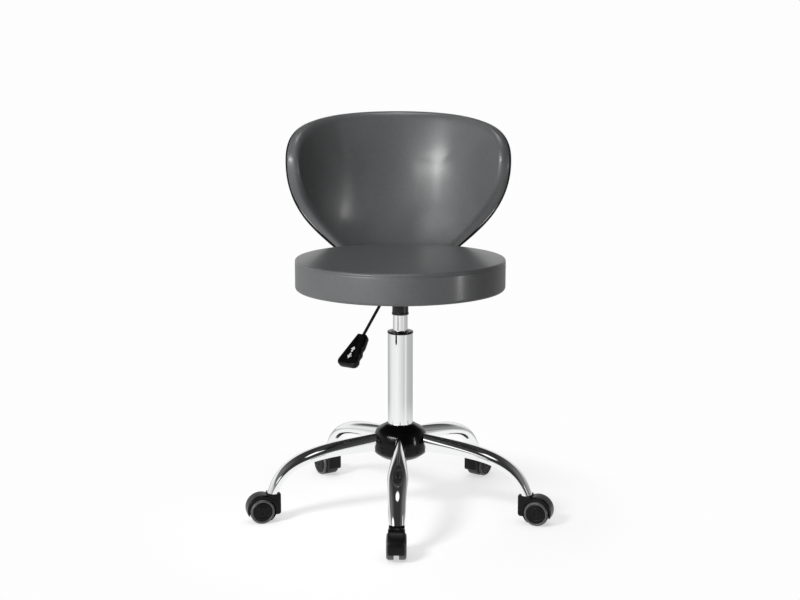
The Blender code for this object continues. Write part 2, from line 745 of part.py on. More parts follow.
def seat_plate_mesh():
    socket_wall = [
        (SOCKET_RADIUS, PLATE_BOTTOM_Z + PLATE_THICKNESS / 2),
        (SOCKET_RADIUS, SOCKET_BOTTOM_Z + SOCKET_LIP_HEIGHT),
        (SOCKET_RADIUS + SOCKET_LIP, SOCKET_BOTTOM_Z + SOCKET_LIP_HEIGHT),
        (SOCKET_RADIUS + SOCKET_LIP, SOCKET_BOTTOM_Z),
        (CYLINDER_RADIUS + GAP, SOCKET_BOTTOM_Z),
        (CYLINDER_RADIUS - CYLINDER_TAPER + GAP, CYLINDER_TOP_Z),
        (CYLINDER_RADIUS - CYLINDER_TAPER + GAP, PLATE_BOTTOM_Z + PLATE_THICKNESS / 2),
    ]
    socket = turned(socket_wall, COLUMN_STEPS, closed=True)
    lever_way = LEVER_ROD_RADIUS + 2 * GAP
    lever_frame = about_z(LEVER_AZIMUTH)
    ear_inner = SOCKET_RADIUS - CYLINDER_TAPER
    ears = []
    for side in (-1, 1):
        near = side * (lever_way - GAP)
        far = side * (lever_way + EAR_THICKNESS)
        low = (ear_inner, min(near, far), PLATE_BOTTOM_Z - EAR_DROP)
        high = (ear_inner + EAR_LENGTH, max(near, far), PLATE_BOTTOM_Z + PLATE_THICKNESS / 2)
        ears.append((box(low, high), lever_frame))
    dip = (LEVER_PIVOT_REACH + LEVER_TIP_PAST) * math.sin(LEVER_TRAVEL)
    window_low = (CYLINDER_RADIUS / 2, -lever_way, LEVER_Z - LEVER_ROD_RADIUS - dip)
    window = box(window_low, (ear_inner + EAR_LENGTH + GAP, lever_way, PLATE_BOTTOM_Z - GAP))
    pivot_hole = cylinder(PIVOT_RADIUS + GAP, -BLOCK_WIDTH, BLOCK_WIDTH)
    pivot_place = lever_frame @ shift(x=LEVER_PIVOT_REACH, z=LEVER_Z) @ lying_along_y()
    cuts = [(window, lever_frame), (pivot_hole, pivot_place)]
    for x, y in plate_bolt_places():
        hole = cylinder(BOLT_RADIUS + GAP, PLATE_BOTTOM_Z - GAP, PLATE_TOP_Z + GAP, BOLT_STEPS)
        cuts.append((hole, shift(x, y)))
    plate = extruded(rounded_square(PLATE_SIDE, PLATE_CORNER), PLATE_THICKNESS)
    plate.transform(shift(z=(PLATE_BOTTOM_Z + PLATE_TOP_Z) / 2))
    return carved(plate, joins=[(socket, Matrix()), *ears], cuts=cuts)


def plate_bolt_places():
    half = PLATE_BOLT_SPACING / 2
    return [(x * half, y * half) for x, y in ((1, 1), (-1, 1), (-1, -1), (1, -1))]


def lever_path():
    """Rod's middle line in the lever's frame: origin on the pivot, X outwards."""
    corner_x = LEVER_BEND_REACH - LEVER_PIVOT_REACH
    tangent = LEVER_BEND_RADIUS * math.tan(LEVER_SLOPE / 2)
    turn = math.degrees(LEVER_SLOPE)
    bend = arc(corner_x - tangent, -LEVER_BEND_RADIUS, LEVER_BEND_RADIUS, 90, 90 - turn, 5)
    start = (-LEVER_PIVOT_REACH - LEVER_TIP_PAST, 0.0)
    end = lever_point(LEVER_LENGTH)
    return [start, *bend, end]


def lever_point(run):
    """Point on the rod's sloping run, measured from the corner of its bend."""
    corner_x = LEVER_BEND_REACH - LEVER_PIVOT_REACH
    return (corner_x + run * math.cos(LEVER_SLOPE), -run * math.sin(LEVER_SLOPE))


def lever_rod_mesh():
    curve = bpy.data.curves.new("lever", "CURVE")
    curve.dimensions = "3D"
    curve.bevel_depth = LEVER_ROD_RADIUS
    curve.bevel_resolution = 2
    curve.use_fill_caps = True
    spline = curve.splines.new("POLY")
    path = lever_path()
    spline.points.add(len(path) - 1)
    for point, (x, z) in zip(spline.points, path):
        point.co = (x, 0.0, z, 1.0)
    rod = baked(work_object(curve))
    pivot_hole = cylinder(PIVOT_RADIUS + GAP, -BLOCK_WIDTH, BLOCK_WIDTH)
    return carved(rod, cuts=[(pivot_hole, lying_along_y())])


def handle_outline():
    """Paddle seen on its face: X along the rod, widening outwards, finger waves on its +Y side."""
    neck = HANDLE_NECK_WIDTH / 2
    end = HANDLE_END_WIDTH / 2
    run = HANDLE_LENGTH - HANDLE_CORNER
    points = [(0.0, -neck), (run, -end)]
    points += arc(run, HANDLE_CORNER - end, HANDLE_CORNER, -60, 0, 3)
    points += arc(run, end - HANDLE_CORNER, HANDLE_CORNER, 0, 60, 3)
    steps = 4 * HANDLE_WAVES
    for i in range(steps + 1):
        share = 1 - i / steps
        wave = HANDLE_WAVE * (math.cos(2 * math.pi * HANDLE_WAVES * share) - 1) / 2
        points.append((run * share, neck + (end - neck) * share + wave))
    return points


def lever_handle_mesh():
    rod_hole = cylinder(LEVER_ROD_RADIUS + GAP, -GAP, HANDLE_GRIP + GAP)
    along_x = Matrix.Rotation(math.radians(90), 4, "Y")
    return carved(
        extruded(handle_outline(), HANDLE_THICKNESS, HANDLE_EDGE),
        cuts=[(rod_hole, along_x)],
    )


def pivot_pin_mesh():
    half = LEVER_ROD_RADIUS + 2 * GAP + EAR_THICKNESS
    return cylinder(PIVOT_RADIUS, -half, half)


def release_pin_mesh():
    top = LEVER_Z - LEVER_ROD_RADIUS - GAP
    profile = [
        (0, top),
        (PIN_RADIUS / 3, top),
        (PIN_RADIUS, top - PIN_DOME),
        (PIN_RADIUS, CYLINDER_TOP_Z - PIN_IN_HEAD),
        (0, CYLINDER_TOP_Z - PIN_IN_HEAD),
    ]
    return turned(profile, INNER_STEPS)


# Seat

def crowned_top(radius, rim, edge):
    """Profile of a cushion's top from the axis to the bottom of its rounded edge."""
    points = [(0, rim + SEAT_CROWN), (SEAT_FLAT, rim + SEAT_CROWN)]
    inner = radius - edge
    for share in (0.35, 0.7):
        points.append((SEAT_FLAT + (inner - SEAT_FLAT) * share, rim + SEAT_CROWN * (1 - share**2)))
    return points + arc(inner, rim - edge, edge, 90, 0, 4)


def cover_side(inset):
    """Half of the cover's section: the outer face with no inset, the inner face with the cover's thickness."""
    radius = SEAT_RADIUS - inset
    hem = SEAT_HEM - inset
    bottom = HEM_Z + inset
    middle = (SEAT_RIM_Z + HEM_Z) / 2
    return [
        *crowned_top(radius, SEAT_RIM_Z - inset, SEAT_EDGE - inset),
        (radius + SEAT_BULGE, middle),
        *arc(radius - hem, bottom + hem, hem, 0, -90, 2),
        (SEAT_RADIUS - HEM_REACH, bottom),
    ]


def seat_cover_mesh():
    return turned(cover_side(0.0) + cover_side(COVER_THICKNESS)[::-1], SEAT_STEPS)


def seat_foam_mesh():
    inset = COVER_THICKNESS + GAP
    radius = SEAT_RADIUS - inset
    bottom = BOARD_TOP_Z + GAP
    top = crowned_top(radius, SEAT_RIM_Z - inset, SEAT_EDGE - inset)
    return turned([*top, (radius, bottom), (0, bottom)], SEAT_STEPS)


def seat_board_mesh():
    board = cylinder(SEAT_RADIUS - SEAT_BOARD_INSET, BOARD_BOTTOM_Z, BOARD_TOP_Z, SEAT_STEPS)
    hole = cylinder(BOLT_RADIUS + GAP, BOARD_BOTTOM_Z - GAP, BOARD_BOTTOM_Z + BOLT_BITE + GAP, BOLT_STEPS)
    places = plate_bolt_places() + [(0.0, y) for y in SEAT_BOLTS_Y]
    return carved(board, cuts=[(hole.copy(), shift(x, y)) for x, y in places])


# Backrest

def back_outline():
    """The back's outline on the flat, as (distance along the outer face, height), once round from the top."""
    top = Vector((0.0, SEAT_RIM_Z + BACK_TOP))
    side = Vector((BACK_HALF_WIDTH, SEAT_RIM_Z + BACK_WIDEST))
    foot = Vector((BACK_FOOT_HALF_WIDTH, SEAT_RIM_Z + BACK_BOTTOM + BACK_FOOT_RISE))
    base = Vector((0.0, SEAT_RIM_Z + BACK_BOTTOM))
    upper = side.y - foot.y
    shoulder = Vector((0.0, BACK_SHOULDER_DRAW * (top.y - side.y)))
    curves = (
        (top, top + Vector((BACK_TOP_DRAW * side.x, 0.0)), side + shoulder, side, 7),
        (side, side - Vector((0.0, 0.305 * upper)), foot + Vector((BACK_FLANK, 0.50 * upper)), foot, 8),
        (foot, foot - Vector((0.2, 0.9)) * BACK_FOOT_RISE, base + Vector((0.6 * foot.x, 0.0)), base, 3),
    )
    half = []
    for start, handle, other_handle, end, steps in curves:
        half += interpolate_bezier(start, handle, other_handle, end, steps + 1)[:-1]
    right = [(point.x, point.y) for point in half]
    left = [(-x, z) for x, z in right[1:]][::-1]
    return [*right, (base.x, base.y), *left]


def wrapped(profile):
    """A pad over the back's outline, wrapped round the back's axis.

    The profile is (share of the way from the middle to the outline, depth behind the inner face).
    """
    outline = back_outline()
    middle = Vector((0.0, SEAT_RIM_Z + (BACK_TOP + BACK_BOTTOM) / 2))
    outer_radius = BACK_RADIUS + BACK_PAD + GAP + BACK_COVER
    mesh = turned([(share, -depth) for share, depth in profile], len(outline))
    for vertex in mesh.vertices:
        share = math.hypot(vertex.co.x, vertex.co.y)
        angle = math.atan2(vertex.co.y, vertex.co.x) % (2 * math.pi)
        index = round(angle / (2 * math.pi) * len(outline)) % len(outline)
        flat = middle + (Vector(outline[index]) - middle) * share
        turn = flat.x / outer_radius
        radius = BACK_RADIUS - vertex.co.z
        lean = BACK_LEAN * (flat.y - SEAT_RIM_Z)
        vertex.co = (radius * math.sin(turn), BACK_AXIS_Y + lean + radius * math.cos(turn), flat.y)
    return short_triangles(cleaned(mesh))


def level_rings(depth, outwards):
    """Rings of one face of a layer, all layers alike, so that they lie on each other evenly."""
    rings = [(share, depth) for share in BACK_RINGS]
    return [(0, depth), *rings] if outwards else [*rings[::-1], (0, depth)]


def back_pad_mesh():
    pocket = BACK_PAD - BACK_PAD_POCKET
    rim = [(0.935, 0.0012), (0.972, 0.0050), (0.992, 0.0110), (1.0, 0.0170), (0.996, 0.0225)]
    profile = [
        *level_rings(0.0, True),
        *rim,
        (0.985, BACK_PAD),
        (BACK_POCKET_SHARE, BACK_PAD),
        (BACK_POCKET_SHARE, pocket),
        *level_rings(pocket, False),
    ]
    return wrapped(profile)


def back_bolt_cuts():
    """Holes for the bolts that hold the back, through everything behind the pad."""
    cuts = []
    for rise in BACK_BOLTS_AT:
        hole = cylinder(BOLT_RADIUS + GAP, -BRACKET_THICKNESS, back_bolt_length() + GAP, BOLT_STEPS)
        cuts.append((hole, back_bolt_frame(rise)))
    return cuts


def back_board_mesh():
    front = BACK_PAD - BACK_PAD_POCKET + GAP
    profile = [
        *level_rings(front, True),
        (BACK_BOARD_SHARE, front),
        (BACK_BOARD_SHARE, BACK_PAD),
        *level_rings(BACK_PAD, False),
    ]
    return carved(wrapped(profile), cuts=back_bolt_cuts())


def back_cover_mesh():
    front = BACK_PAD + GAP
    rear = front + BACK_COVER
    profile = [
        *level_rings(front, True),
        (BACK_BOARD_SHARE, front),
        (BACK_COVER_SHARE - 0.007, front),
        (BACK_COVER_SHARE, front + BACK_COVER * 0.3),
        (BACK_COVER_SHARE - 0.010, front + BACK_COVER * 0.8),
        (BACK_COVER_SHARE - 0.045, rear),
        *level_rings(rear, False),
    ]
    return carved(wrapped(profile), cuts=back_bolt_cuts())


# Bracket and bolts

def upright_line(height):
    """Y of the bracket's upright, on its middle line, at a height."""
    rear = BACK_AXIS_Y + BACK_RADIUS + BACK_PAD + GAP + BACK_COVER
    return rear + GAP + BRACKET_THICKNESS / 2 + BACK_LEAN * (height - SEAT_RIM_Z)


def bracket_mesh():
    lean = math.atan(BACK_LEAN)
    half = BRACKET_THICKNESS / 2
    corner_y = upright_line(BRACKET_Z)
    tangent = BRACKET_BEND * math.tan((math.pi / 2 - lean) / 2)
    turn = 90 - math.degrees(lean)
    bend_y = corner_y - tangent
    bend_z = BRACKET_Z + BRACKET_BEND
    top_z = SEAT_RIM_Z + BRACKET_TOP
    top_y = upright_line(top_z)
    across = Vector((math.cos(lean), -math.sin(lean))) * half
    outer = [
        (BRACKET_FRONT_Y, BRACKET_Z - half),
        *arc(bend_y, bend_z, BRACKET_BEND + half, -90, turn - 90, 6),
        (top_y + across.x, top_z + across.y),
    ]
    inner = [
        (top_y - across.x, top_z - across.y),
        *arc(bend_y, bend_z, BRACKET_BEND - half, turn - 90, -90, 6),
        (BRACKET_FRONT_Y, BRACKET_Z + half),
    ]
    bar = extruded(outer + inner, BRACKET_WIDTH)
    # The outline is drawn in X and Y. These turns set it upright in the plane of symmetry.
    bar.transform(about_z(math.radians(90)) @ Matrix.Rotation(math.radians(90), 4, "X"))
    hole = cylinder(BOLT_RADIUS + GAP, -BRACKET_THICKNESS, BRACKET_THICKNESS, BOLT_STEPS)
    cuts = [(hole.copy(), shift(y=y, z=BRACKET_Z)) for y in SEAT_BOLTS_Y]
    return carved(bar, cuts=cuts + back_bolt_cuts())


def back_bolt_frame(rise):
    """Frame of a back bolt: origin on the bracket's outer face, Z pointing at the sitter."""
    height = SEAT_RIM_Z + rise
    lean = math.atan(BACK_LEAN)
    middle = Vector((0.0, upright_line(height), height))
    outward = Vector((0.0, math.cos(lean), -math.sin(lean)))
    place_at = middle + outward * (BRACKET_THICKNESS / 2 + GAP)
    return Matrix.Translation(place_at) @ Matrix.Rotation(math.radians(90) - lean, 4, "X")


def back_bolt_length():
    return GAP + BRACKET_THICKNESS + GAP + BACK_COVER + GAP + BACK_PAD_POCKET * 0.7


def bolt_mesh(length):
    """A bolt along Z, its head under Z = 0."""
    chamfer = BOLT_RADIUS / 6
    profile = [
        (0, length),
        (BOLT_RADIUS - chamfer, length),
        (BOLT_RADIUS, length - chamfer),
        (BOLT_RADIUS, 0),
        (BOLT_HEAD_RADIUS, 0),
        (BOLT_HEAD_RADIUS, -BOLT_HEAD * 0.5),
        (BOLT_HEAD_RADIUS * 0.6, -BOLT_HEAD),
        (0, -BOLT_HEAD),
    ]
    return turned(profile, BOLT_STEPS)


# Assembly

def build_star(root):
    leg = leg_mesh()
    body = caster_body_mesh()
    stem = stem_mesh()
    axle = axle_mesh()
    wheel = wheel_mesh()
    for i in range(CASTER_COUNT):
        number = i + 1
        arm = empty(f"arm_{number}", root, (0.0, 0.0, 0.0), leg_angle(i))
        place(f"leg_{number}", leg.copy(), "chrome", arm)
        swivel = empty(f"caster_{number}_axis", arm, (STEM_CIRCLE, 0.0, 0.0))
        place(f"caster_{number}_stem", stem.copy(), "bright_steel", swivel)
        place(f"caster_{number}_body", body.copy(), "black_plastic", swivel)
        hub = (CASTER_TRAIL, 0.0, AXLE_Z)
        place(f"caster_{number}_axle", axle.copy(), "bright_steel", swivel, hub, (math.radians(90), 0.0, 0.0))
        for side, tilt in (("left", -90), ("right", 90)):
            turn = (math.radians(tilt), 0.0, 0.0)
            place(f"caster_{number}_wheel_{side}", wheel.copy(), "wheel_tread", swivel, hub, turn)


def build_column(root):
    place("hub_core", hub_core_mesh(), "black_steel", root)
    place("hub_shell", hub_shell_mesh(), "black_plastic", root)
    place("stand_tube", stand_tube_mesh(), "chrome", root)
    place("guide_bush", guide_bush_mesh(), "bush_plastic", root)
    place("tube_cap", tube_cap_mesh(), "black_plastic", root)
    place("thrust_bearing", thrust_bearing_mesh(), "bright_steel", root)
    place("piston_rod", piston_rod_mesh(), "bright_steel", root)
    place("rod_clip", rod_clip_mesh(), "bright_steel", root)
    place("gas_cylinder", cylinder_mesh(), "chrome", root)
    place("release_pin", release_pin_mesh(), "bright_steel", root)


def build_lever(root):
    reach = LEVER_PIVOT_REACH
    pivot = (reach * math.cos(LEVER_AZIMUTH), reach * math.sin(LEVER_AZIMUTH), LEVER_Z)
    axis = empty("lever_axis", root, pivot, LEVER_AZIMUTH)
    place("lever_rod", lever_rod_mesh(), "black_steel", axis)
    handle_x, handle_z = lever_point(LEVER_LENGTH - HANDLE_GRIP)
    grip = (handle_x, 0.0, handle_z)
    place("lever_handle", lever_handle_mesh(), "black_plastic", axis, grip, (0.0, LEVER_SLOPE, 0.0))
    place("lever_pivot_pin", pivot_pin_mesh(), "bright_steel", axis, rotation=(math.radians(90), 0.0, 0.0))


def build_seat(root):
    place("seat_plate", seat_plate_mesh(), "black_steel", root)
    place("seat_board", seat_board_mesh(), "plywood", root)
    place("seat_foam", seat_foam_mesh(), "seat_foam", root)
    place("seat_cover", seat_cover_mesh(), "seat_leather", root, sharp=60)
    plate_bolt = bolt_mesh(GAP + PLATE_THICKNESS + GAP + BOLT_BITE)
    for i, (x, y) in enumerate(plate_bolt_places()):
        place(f"plate_bolt_{i + 1}", plate_bolt.copy(), "bright_steel", root, (x, y, PLATE_BOTTOM_Z - GAP))


def build_back(root):
    place("back_pad", back_pad_mesh(), "seat_leather", root, sharp=60)
    place("back_board", back_board_mesh(), "plywood", root)
    place("back_cover", back_cover_mesh(), "seat_leather", root, sharp=60)
    place("back_bracket", bracket_mesh(), "black_steel", root)
    bracket_bottom = BRACKET_Z - BRACKET_THICKNESS / 2
    seat_bolt = bolt_mesh(BOARD_BOTTOM_Z + BOLT_BITE - bracket_bottom)
    for i, y in enumerate(SEAT_BOLTS_Y):
        place_at = (0.0, y, bracket_bottom - GAP)
        place(f"bracket_bolt_{i + 1}", seat_bolt.copy(), "bright_steel", root, place_at)
    back_bolt = bolt_mesh(back_bolt_length())
    for i, rise in enumerate(BACK_BOLTS_AT):
        frame = back_bolt_frame(rise)
        turn = frame.to_euler()
        place(f"back_bolt_{i + 1}", back_bolt.copy(), "bright_steel", root, frame.translation, turn)


def centre_on_floor(root):
    """Moves the column so that the origin is under the middle of the whole stool."""
    bpy.context.view_layer.update()
    corners = []
    for obj in PARTS.objects:
        if obj.type == "MESH":
            corners += [obj.matrix_world @ Vector(corner) for corner in obj.bound_box]
    for axis in (0, 1):
        values = [corner[axis] for corner in corners]
        root.location[axis] = -(min(values) + max(values)) / 2


def main():
    root = empty("column_axis", None, (0.0, 0.0, 0.0))
    build_star(root)
    build_column(root)
    build_lever(root)
    build_seat(root)
    build_back(root)
    centre_on_floor(root)
    bpy.data.collections.remove(WORK)


main()
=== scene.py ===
import json
import math

import bmesh
import bpy
from mathutils import Matrix, Vector
from mathutils.geometry import interpolate_bezier


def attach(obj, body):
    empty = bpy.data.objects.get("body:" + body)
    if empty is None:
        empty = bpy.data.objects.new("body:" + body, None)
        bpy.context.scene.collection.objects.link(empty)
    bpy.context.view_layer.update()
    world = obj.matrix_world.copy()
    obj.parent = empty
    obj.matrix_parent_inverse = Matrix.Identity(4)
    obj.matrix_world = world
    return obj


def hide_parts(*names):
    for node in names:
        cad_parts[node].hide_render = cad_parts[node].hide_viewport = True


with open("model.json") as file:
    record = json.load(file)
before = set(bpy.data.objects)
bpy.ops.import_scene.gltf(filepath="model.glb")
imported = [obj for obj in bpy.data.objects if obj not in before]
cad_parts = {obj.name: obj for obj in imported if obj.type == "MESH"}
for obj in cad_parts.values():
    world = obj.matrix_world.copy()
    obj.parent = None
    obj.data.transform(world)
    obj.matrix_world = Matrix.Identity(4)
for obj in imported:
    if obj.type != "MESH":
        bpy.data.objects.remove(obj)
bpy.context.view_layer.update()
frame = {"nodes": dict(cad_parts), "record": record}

joints = {joint["name"]: joint for joint in frame["record"]["behaviour"]["joints"]}

# Every size is in metres. The column stands on its own axis and the sitter faces -Y.
COLUMN = Matrix.Translation(Vector((*joints["seat_swivel"]["pos_m"][:2], 0.0)))

# Seat
SEAT_RADIUS = 0.200
SEAT_HEM_Z = 0.4368
SEAT_RIM_Z = 0.4953
SEAT_CROWN = 0.003
SEAT_EDGE = 0.0040
SEAT_SEAM = 0.0009
HEM_REACH = 0.032
SEAT_SWELL = 0.0014

# Backrest, drawn flat and wrapped round an upright axis behind the sitter
BACK_RADIUS = 0.204
BACK_AXIS_Y = 0.006
BACK_LEAN_ANGLE = 3.0
BACK_LEAN = math.tan(math.radians(BACK_LEAN_ANGLE))
BACK_TOP_Z = 0.760
BACK_WIDEST_Z = 0.672
BACK_BOTTOM_Z = 0.455
BACK_HALF_WIDTH = 0.294
BACK_FOOT_HALF_WIDTH = 0.119
BACK_FOOT_RISE = 0.020
BACK_FLANK = 0.127
BACK_TOP_DRAW = 0.68
BACK_SHOULDER_DRAW = 0.66
BACK_PAD = 0.0245
BACK_POCKET = 0.016
BACK_COVER_FRONT = 0.0248
BACK_DEPTH = 0.0300
BACK_SWELL = 0.0016
BACK_CROWN = 0.007
BACK_DOME = 0.009
# Welt cord in the seam: real piping, and also painted shade, made dark and thicker along the lower edges to
# stand for the shade under them.
WELT_RADIUS = 0.0010
WELT_LOW_RADIUS = 0.0024
WELT_LOW_Z = 0.625
WELT_LOW_RUN = 0.09
WELT_DEPTH = 0.0258
WELT_INSET = 0.0028
WELT_SIDES = 10

# Upholstery meshes
PANEL_STEPS = 32
FACE_RINGS = 9
CLOTH_FRAMES = 20
CLOTH_SETTINGS = {
    "quality": 8,
    "mass": 0.3,
    "tension_stiffness": 40,
    "compression_stiffness": 40,
    "shear_stiffness": 20,
    "bending_stiffness": 6,
    "use_pressure": True,
    "uniform_pressure_force": 3.0,
}
SWELL_EASING = 14

# Column and hub
TUBE_RADIUS = 0.024
TUBE_WALL = 0.0015
TUBE_BOTTOM_Z = 0.1044
TUBE_TOP_Z = 0.350
TUBE_FLOOR = 0.003
ROD_HOLE = 0.0055
CAP_TOP_Z = 0.3548
CAP_LIP = 0.0008
CYLINDER_RADIUS = 0.014
CYLINDER_BOTTOM_Z = 0.1418
SOCKET_BOTTOM_Z = 0.3858
CYLINDER_TOP_Z = 0.4178
CYLINDER_WALL = 0.0013
CYLINDER_FLOOR = 0.010
CYLINDER_HEAD = 0.034
PIN_HOLE = 0.0034
HUB_RADIUS = 0.0535
HUB_FOOT_RADIUS = 0.037
HUB_BOTTOM_Z = 0.1064
HUB_TOP_Z = 0.1724
HUB_BORE = 0.0305
HUB_COLLAR = 0.012
TURNED_STEPS = 96

# Room between pieces that lie on each other, and round the column where it slides
GAP = 0.0003
SLIDE = 0.0004

# Plate, bracket and bolts
PLATE_SIDE = 0.150
PLATE_CORNER = 0.016
PLATE_BOTTOM_Z = 0.435
PLATE_TOP_Z = 0.438
PLATE_BOLTS_AT = 0.060
SOCKET_RADIUS = 0.0154
SOCKET_LIP = 0.0008
EAR_START = 0.0144
EAR_END = 0.0294
EAR_DROP = 0.0125
EAR_NEAR = 0.0031
EAR_FAR = 0.0054
LEVER_WAY = 0.0034
STRAP_WIDTH = 0.045
STRAP_THICKNESS = 0.005
STRAP_FRONT_Y = 0.083
STRAP_Z = 0.434
STRAP_BEND = 0.016
STRAP_TOP_Z = 0.6053
STRAP_CORNER = 0.010
STRAP_BOLTS_Y = (0.103, 0.153)
BACK_BOLTS_Z = (0.5353, 0.5853)
BOLT_RADIUS = 0.003
BOLT_HEAD_RADIUS = 0.0065
BOLT_HEAD = 0.0045
BOLT_LENGTH = 0.0110
BOLT_KEY = 0.0020

# Star and casters
CASTER_COUNT = 5
STAR_TURN = -3.4
STEM_CIRCLE = 0.252
LEG_ROOT = Vector((0.0303, 0.1384))
LEG_END = Vector((0.252, 0.0563))
LEG_KNEE = LEG_ROOT + Vector((0.120, -0.008))
LEG_ANKLE = LEG_END + Vector((-0.024, 0.0715))
LEG_FLARE_AT = 0.72
LEG_FLARE_POWER = 0.6
LEG_ROOT_HEIGHT = 0.039
LEG_END_HEIGHT = 0.0218
LEG_EASING = 0.09
LEG_EASING_STEPS = 8
LEG_LEVEL_ROOT = 0.12
LEG_WIDTHS = ((0.0, 0.0175), (0.27, 0.0297), (0.41, 0.0359), (0.54, 0.0393), (0.75, 0.0343), (1.0, 0.0300))
LEG_STATIONS = 60
LEG_SIDES = 40
CASTER_HEIGHT = 0.056
CASTER_TRAIL = 0.023
AXLE_Z = 0.023705
BLOCK_WIDTH = 0.028
BLOCK_BACK = 0.0125
BLOCK_FRONT = 0.0115
BLOCK_LIFT = 0.016
HOOD_RADIUS = 0.0285
HOOD_WIDTH = 0.030
HOOD_LIFT = 0.0035
HOOD_CROWN = 0.0003
WEB_THICKNESS = 0.008
WHEEL_RADIUS = 0.0237
WHEEL_INNER = 0.00475
WHEEL_OUTER = 0.01775
WHEEL_CAP_RADIUS = 0.0184
WHEEL_ROOM = 0.0016
WHEEL_STEPS = 64
AXLE_HOLE = 0.0032

# Lever
LEVER_AZIMUTH = 233.0
LEVER_PIVOT_REACH = 0.0235
LEVER_Z = 0.4275
LEVER_ROD_RADIUS = 0.0028
LEVER_ROD_SIDES = 20
LEVER_BEND_REACH = 0.0509
LEVER_BEND_RADIUS = 0.012
LEVER_SLOPE_ANGLE = 42.7
LEVER_SLOPE = math.radians(LEVER_SLOPE_ANGLE)
LEVER_LENGTH = 0.1185
LEVER_TIP_PAST = 0.003
HANDLE_GRIP = 0.026
HANDLE_LENGTH = 0.071
HANDLE_NECK_WIDTH = 0.026
HANDLE_END_WIDTH = 0.044
HANDLE_THICKNESS = 0.014
HANDLE_CORNER = 0.010
HANDLE_WAVE = 0.0020
HANDLE_WAVES = 2
HANDLE_WAVES_FROM = 0.38
HANDLE_BELLY = 0.0010
HANDLE_CUT = 0.003
MARK_AT = 0.044
MARK_SUNK = 0.0006
MARK_RELIEF = 0.00025


class Tone:
    """A shader socket. Python sums with it add Math nodes to its finish."""

    def __init__(self, finish, socket):
        self.finish = finish
        self.socket = socket

    def worked(self, operation, first, second):
        return self.finish.node("ShaderNodeMath", {"operation": operation}, {0: first, 1: second})

    def __add__(self, other):
        return self.worked("ADD", self, other)

    def __radd__(self, other):
        return self.worked("ADD", other, self)

    def __sub__(self, other):
        return self.worked("SUBTRACT", self, other)

    def __rsub__(self, other):
        return self.worked("SUBTRACT", other, self)

    def __mul__(self, other):
        return self.worked("MULTIPLY", self, other)

    def __rmul__(self, other):
        return self.worked("MULTIPLY", other, self)

    def __gt__(self, other):
        return self.worked("GREATER_THAN", self, other)


class Finish:
    """A procedural material, or the world, built from nodes."""

    def __init__(self, name, tree=None):
        self.material = None
        if tree is None:
            self.material = bpy.data.materials.new(name)
            self.material.use_nodes = True
            tree = self.material.node_tree
        self.tree = tree

    def node(self, kind, settings=None, sockets=None, output=0):
        """Adds a node: its settings are set first, then its sockets are given values or links."""
        made = self.tree.nodes.new(kind)
        for name, value in (settings or {}).items():
            if name == "stops":
                self.set_stops(made.color_ramp, value)
            else:
                setattr(made, name, value)
        for name, value in (sockets or {}).items():
            self.feed(made.inputs[name], value)
        return Tone(self, made.outputs[output])

    def set_stops(self, ramp, stops):
        while len(ramp.elements) < len(stops):
            ramp.elements.new(0.5)
        for element, (place, shade) in zip(ramp.elements, stops):
            element.position = place
            element.color = (shade, shade, shade, 1.0)

    def feed(self, socket, value):
        if isinstance(value, Tone):
            self.tree.links.new(value.socket, socket)
        else:
            socket.default_value = value

    def shade(self, sockets):
        shader = self.tree.nodes["Principled BSDF"]
        for name, value in sockets.items():
            self.feed(shader.inputs[name], value)
        return self

    def place(self):
        return self.node("ShaderNodeTexCoord", output="Object")

    def noise(self, scale, detail, place=None):
        sockets = {"Vector": place or self.place(), "Scale": scale, "Detail": detail}
        return self.node("ShaderNodeTexNoise", None, sockets)

    def cells(self, scale):
        sockets = {"Vector": self.place(), "Scale": scale}
        return self.node("ShaderNodeTexVoronoi", {"feature": "SMOOTH_F1"}, sockets)

    def vectors(self, operation, first, second):
        return self.node("ShaderNodeVectorMath", {"operation": operation}, {0: first, 1: second})

    def length(self, vector):
        return self.node("ShaderNodeVectorMath", {"operation": "LENGTH"}, {0: vector}, output="Value")

    def part(self, vector, axis):
        return self.node("ShaderNodeSeparateXYZ", None, {0: vector}, output=axis)

    def stretched(self, x, y, z):
        """The place on the piece, drawn out along its axes."""
        return self.vectors("MULTIPLY", self.place(), (x, y, z))

    def ray(self, kind):
        return self.node("ShaderNodeLightPath", output=f"Is {kind} Ray")

    def eased_share(self, value, low, high):
        """A share that rises softly from 0 to 1 between two limits of a value."""
        sockets = {0: value, 1: low, 2: high}
        return self.node("ShaderNodeMapRange", {"interpolation_type": "SMOOTHSTEP"}, sockets)

    def ramp(self, value, *stops):
        return self.node("ShaderNodeValToRGB", {"stops": stops}, {0: value})

    def blend(self, share, first, second):
        """A colour between two colours."""
        sockets = {0: share, 6: (*first, 1.0), 7: (*second, 1.0)}
        return self.node("ShaderNodeMix", {"data_type": "RGBA"}, sockets, output=2)

    def bump(self, height, strength, distance, below=None):
        sockets = {"Height": height, "Strength": strength, "Distance": distance}
        if below is not None:
            sockets["Normal"] = below
        return self.node("ShaderNodeBump", None, sockets)


def grey_upholstery():
    """Smooth coated fabric with a fine pebbled grain and soft unevenness from the foam beneath."""
    finish = Finish("grey_upholstery")
    cloud = finish.noise(9.0, 4.0)
    mottle = finish.noise(160.0, 3.0)
    grain = finish.cells(1150.0)
    fold = finish.noise(21.0, 1.0)
    tone = finish.ramp(cloud * 0.6 + mottle * 0.4, (0.35, 0.0), (0.65, 1.0))
    colour = finish.blend(tone, (0.110, 0.113, 0.116), (0.132, 0.135, 0.138))
    soft = finish.bump(fold, 0.20, 0.004)
    pebble = finish.bump(grain + mottle * 0.5, 0.10, 0.0003, soft)
    return finish.shade({
        "Base Color": colour,
        "Roughness": 0.38 + cloud * 0.08 + mottle * 0.04,
        "Normal": pebble,
        "Specular IOR Level": 0.38,
        "Coat Weight": 0.34,
        "Coat Roughness": 0.22,
    })


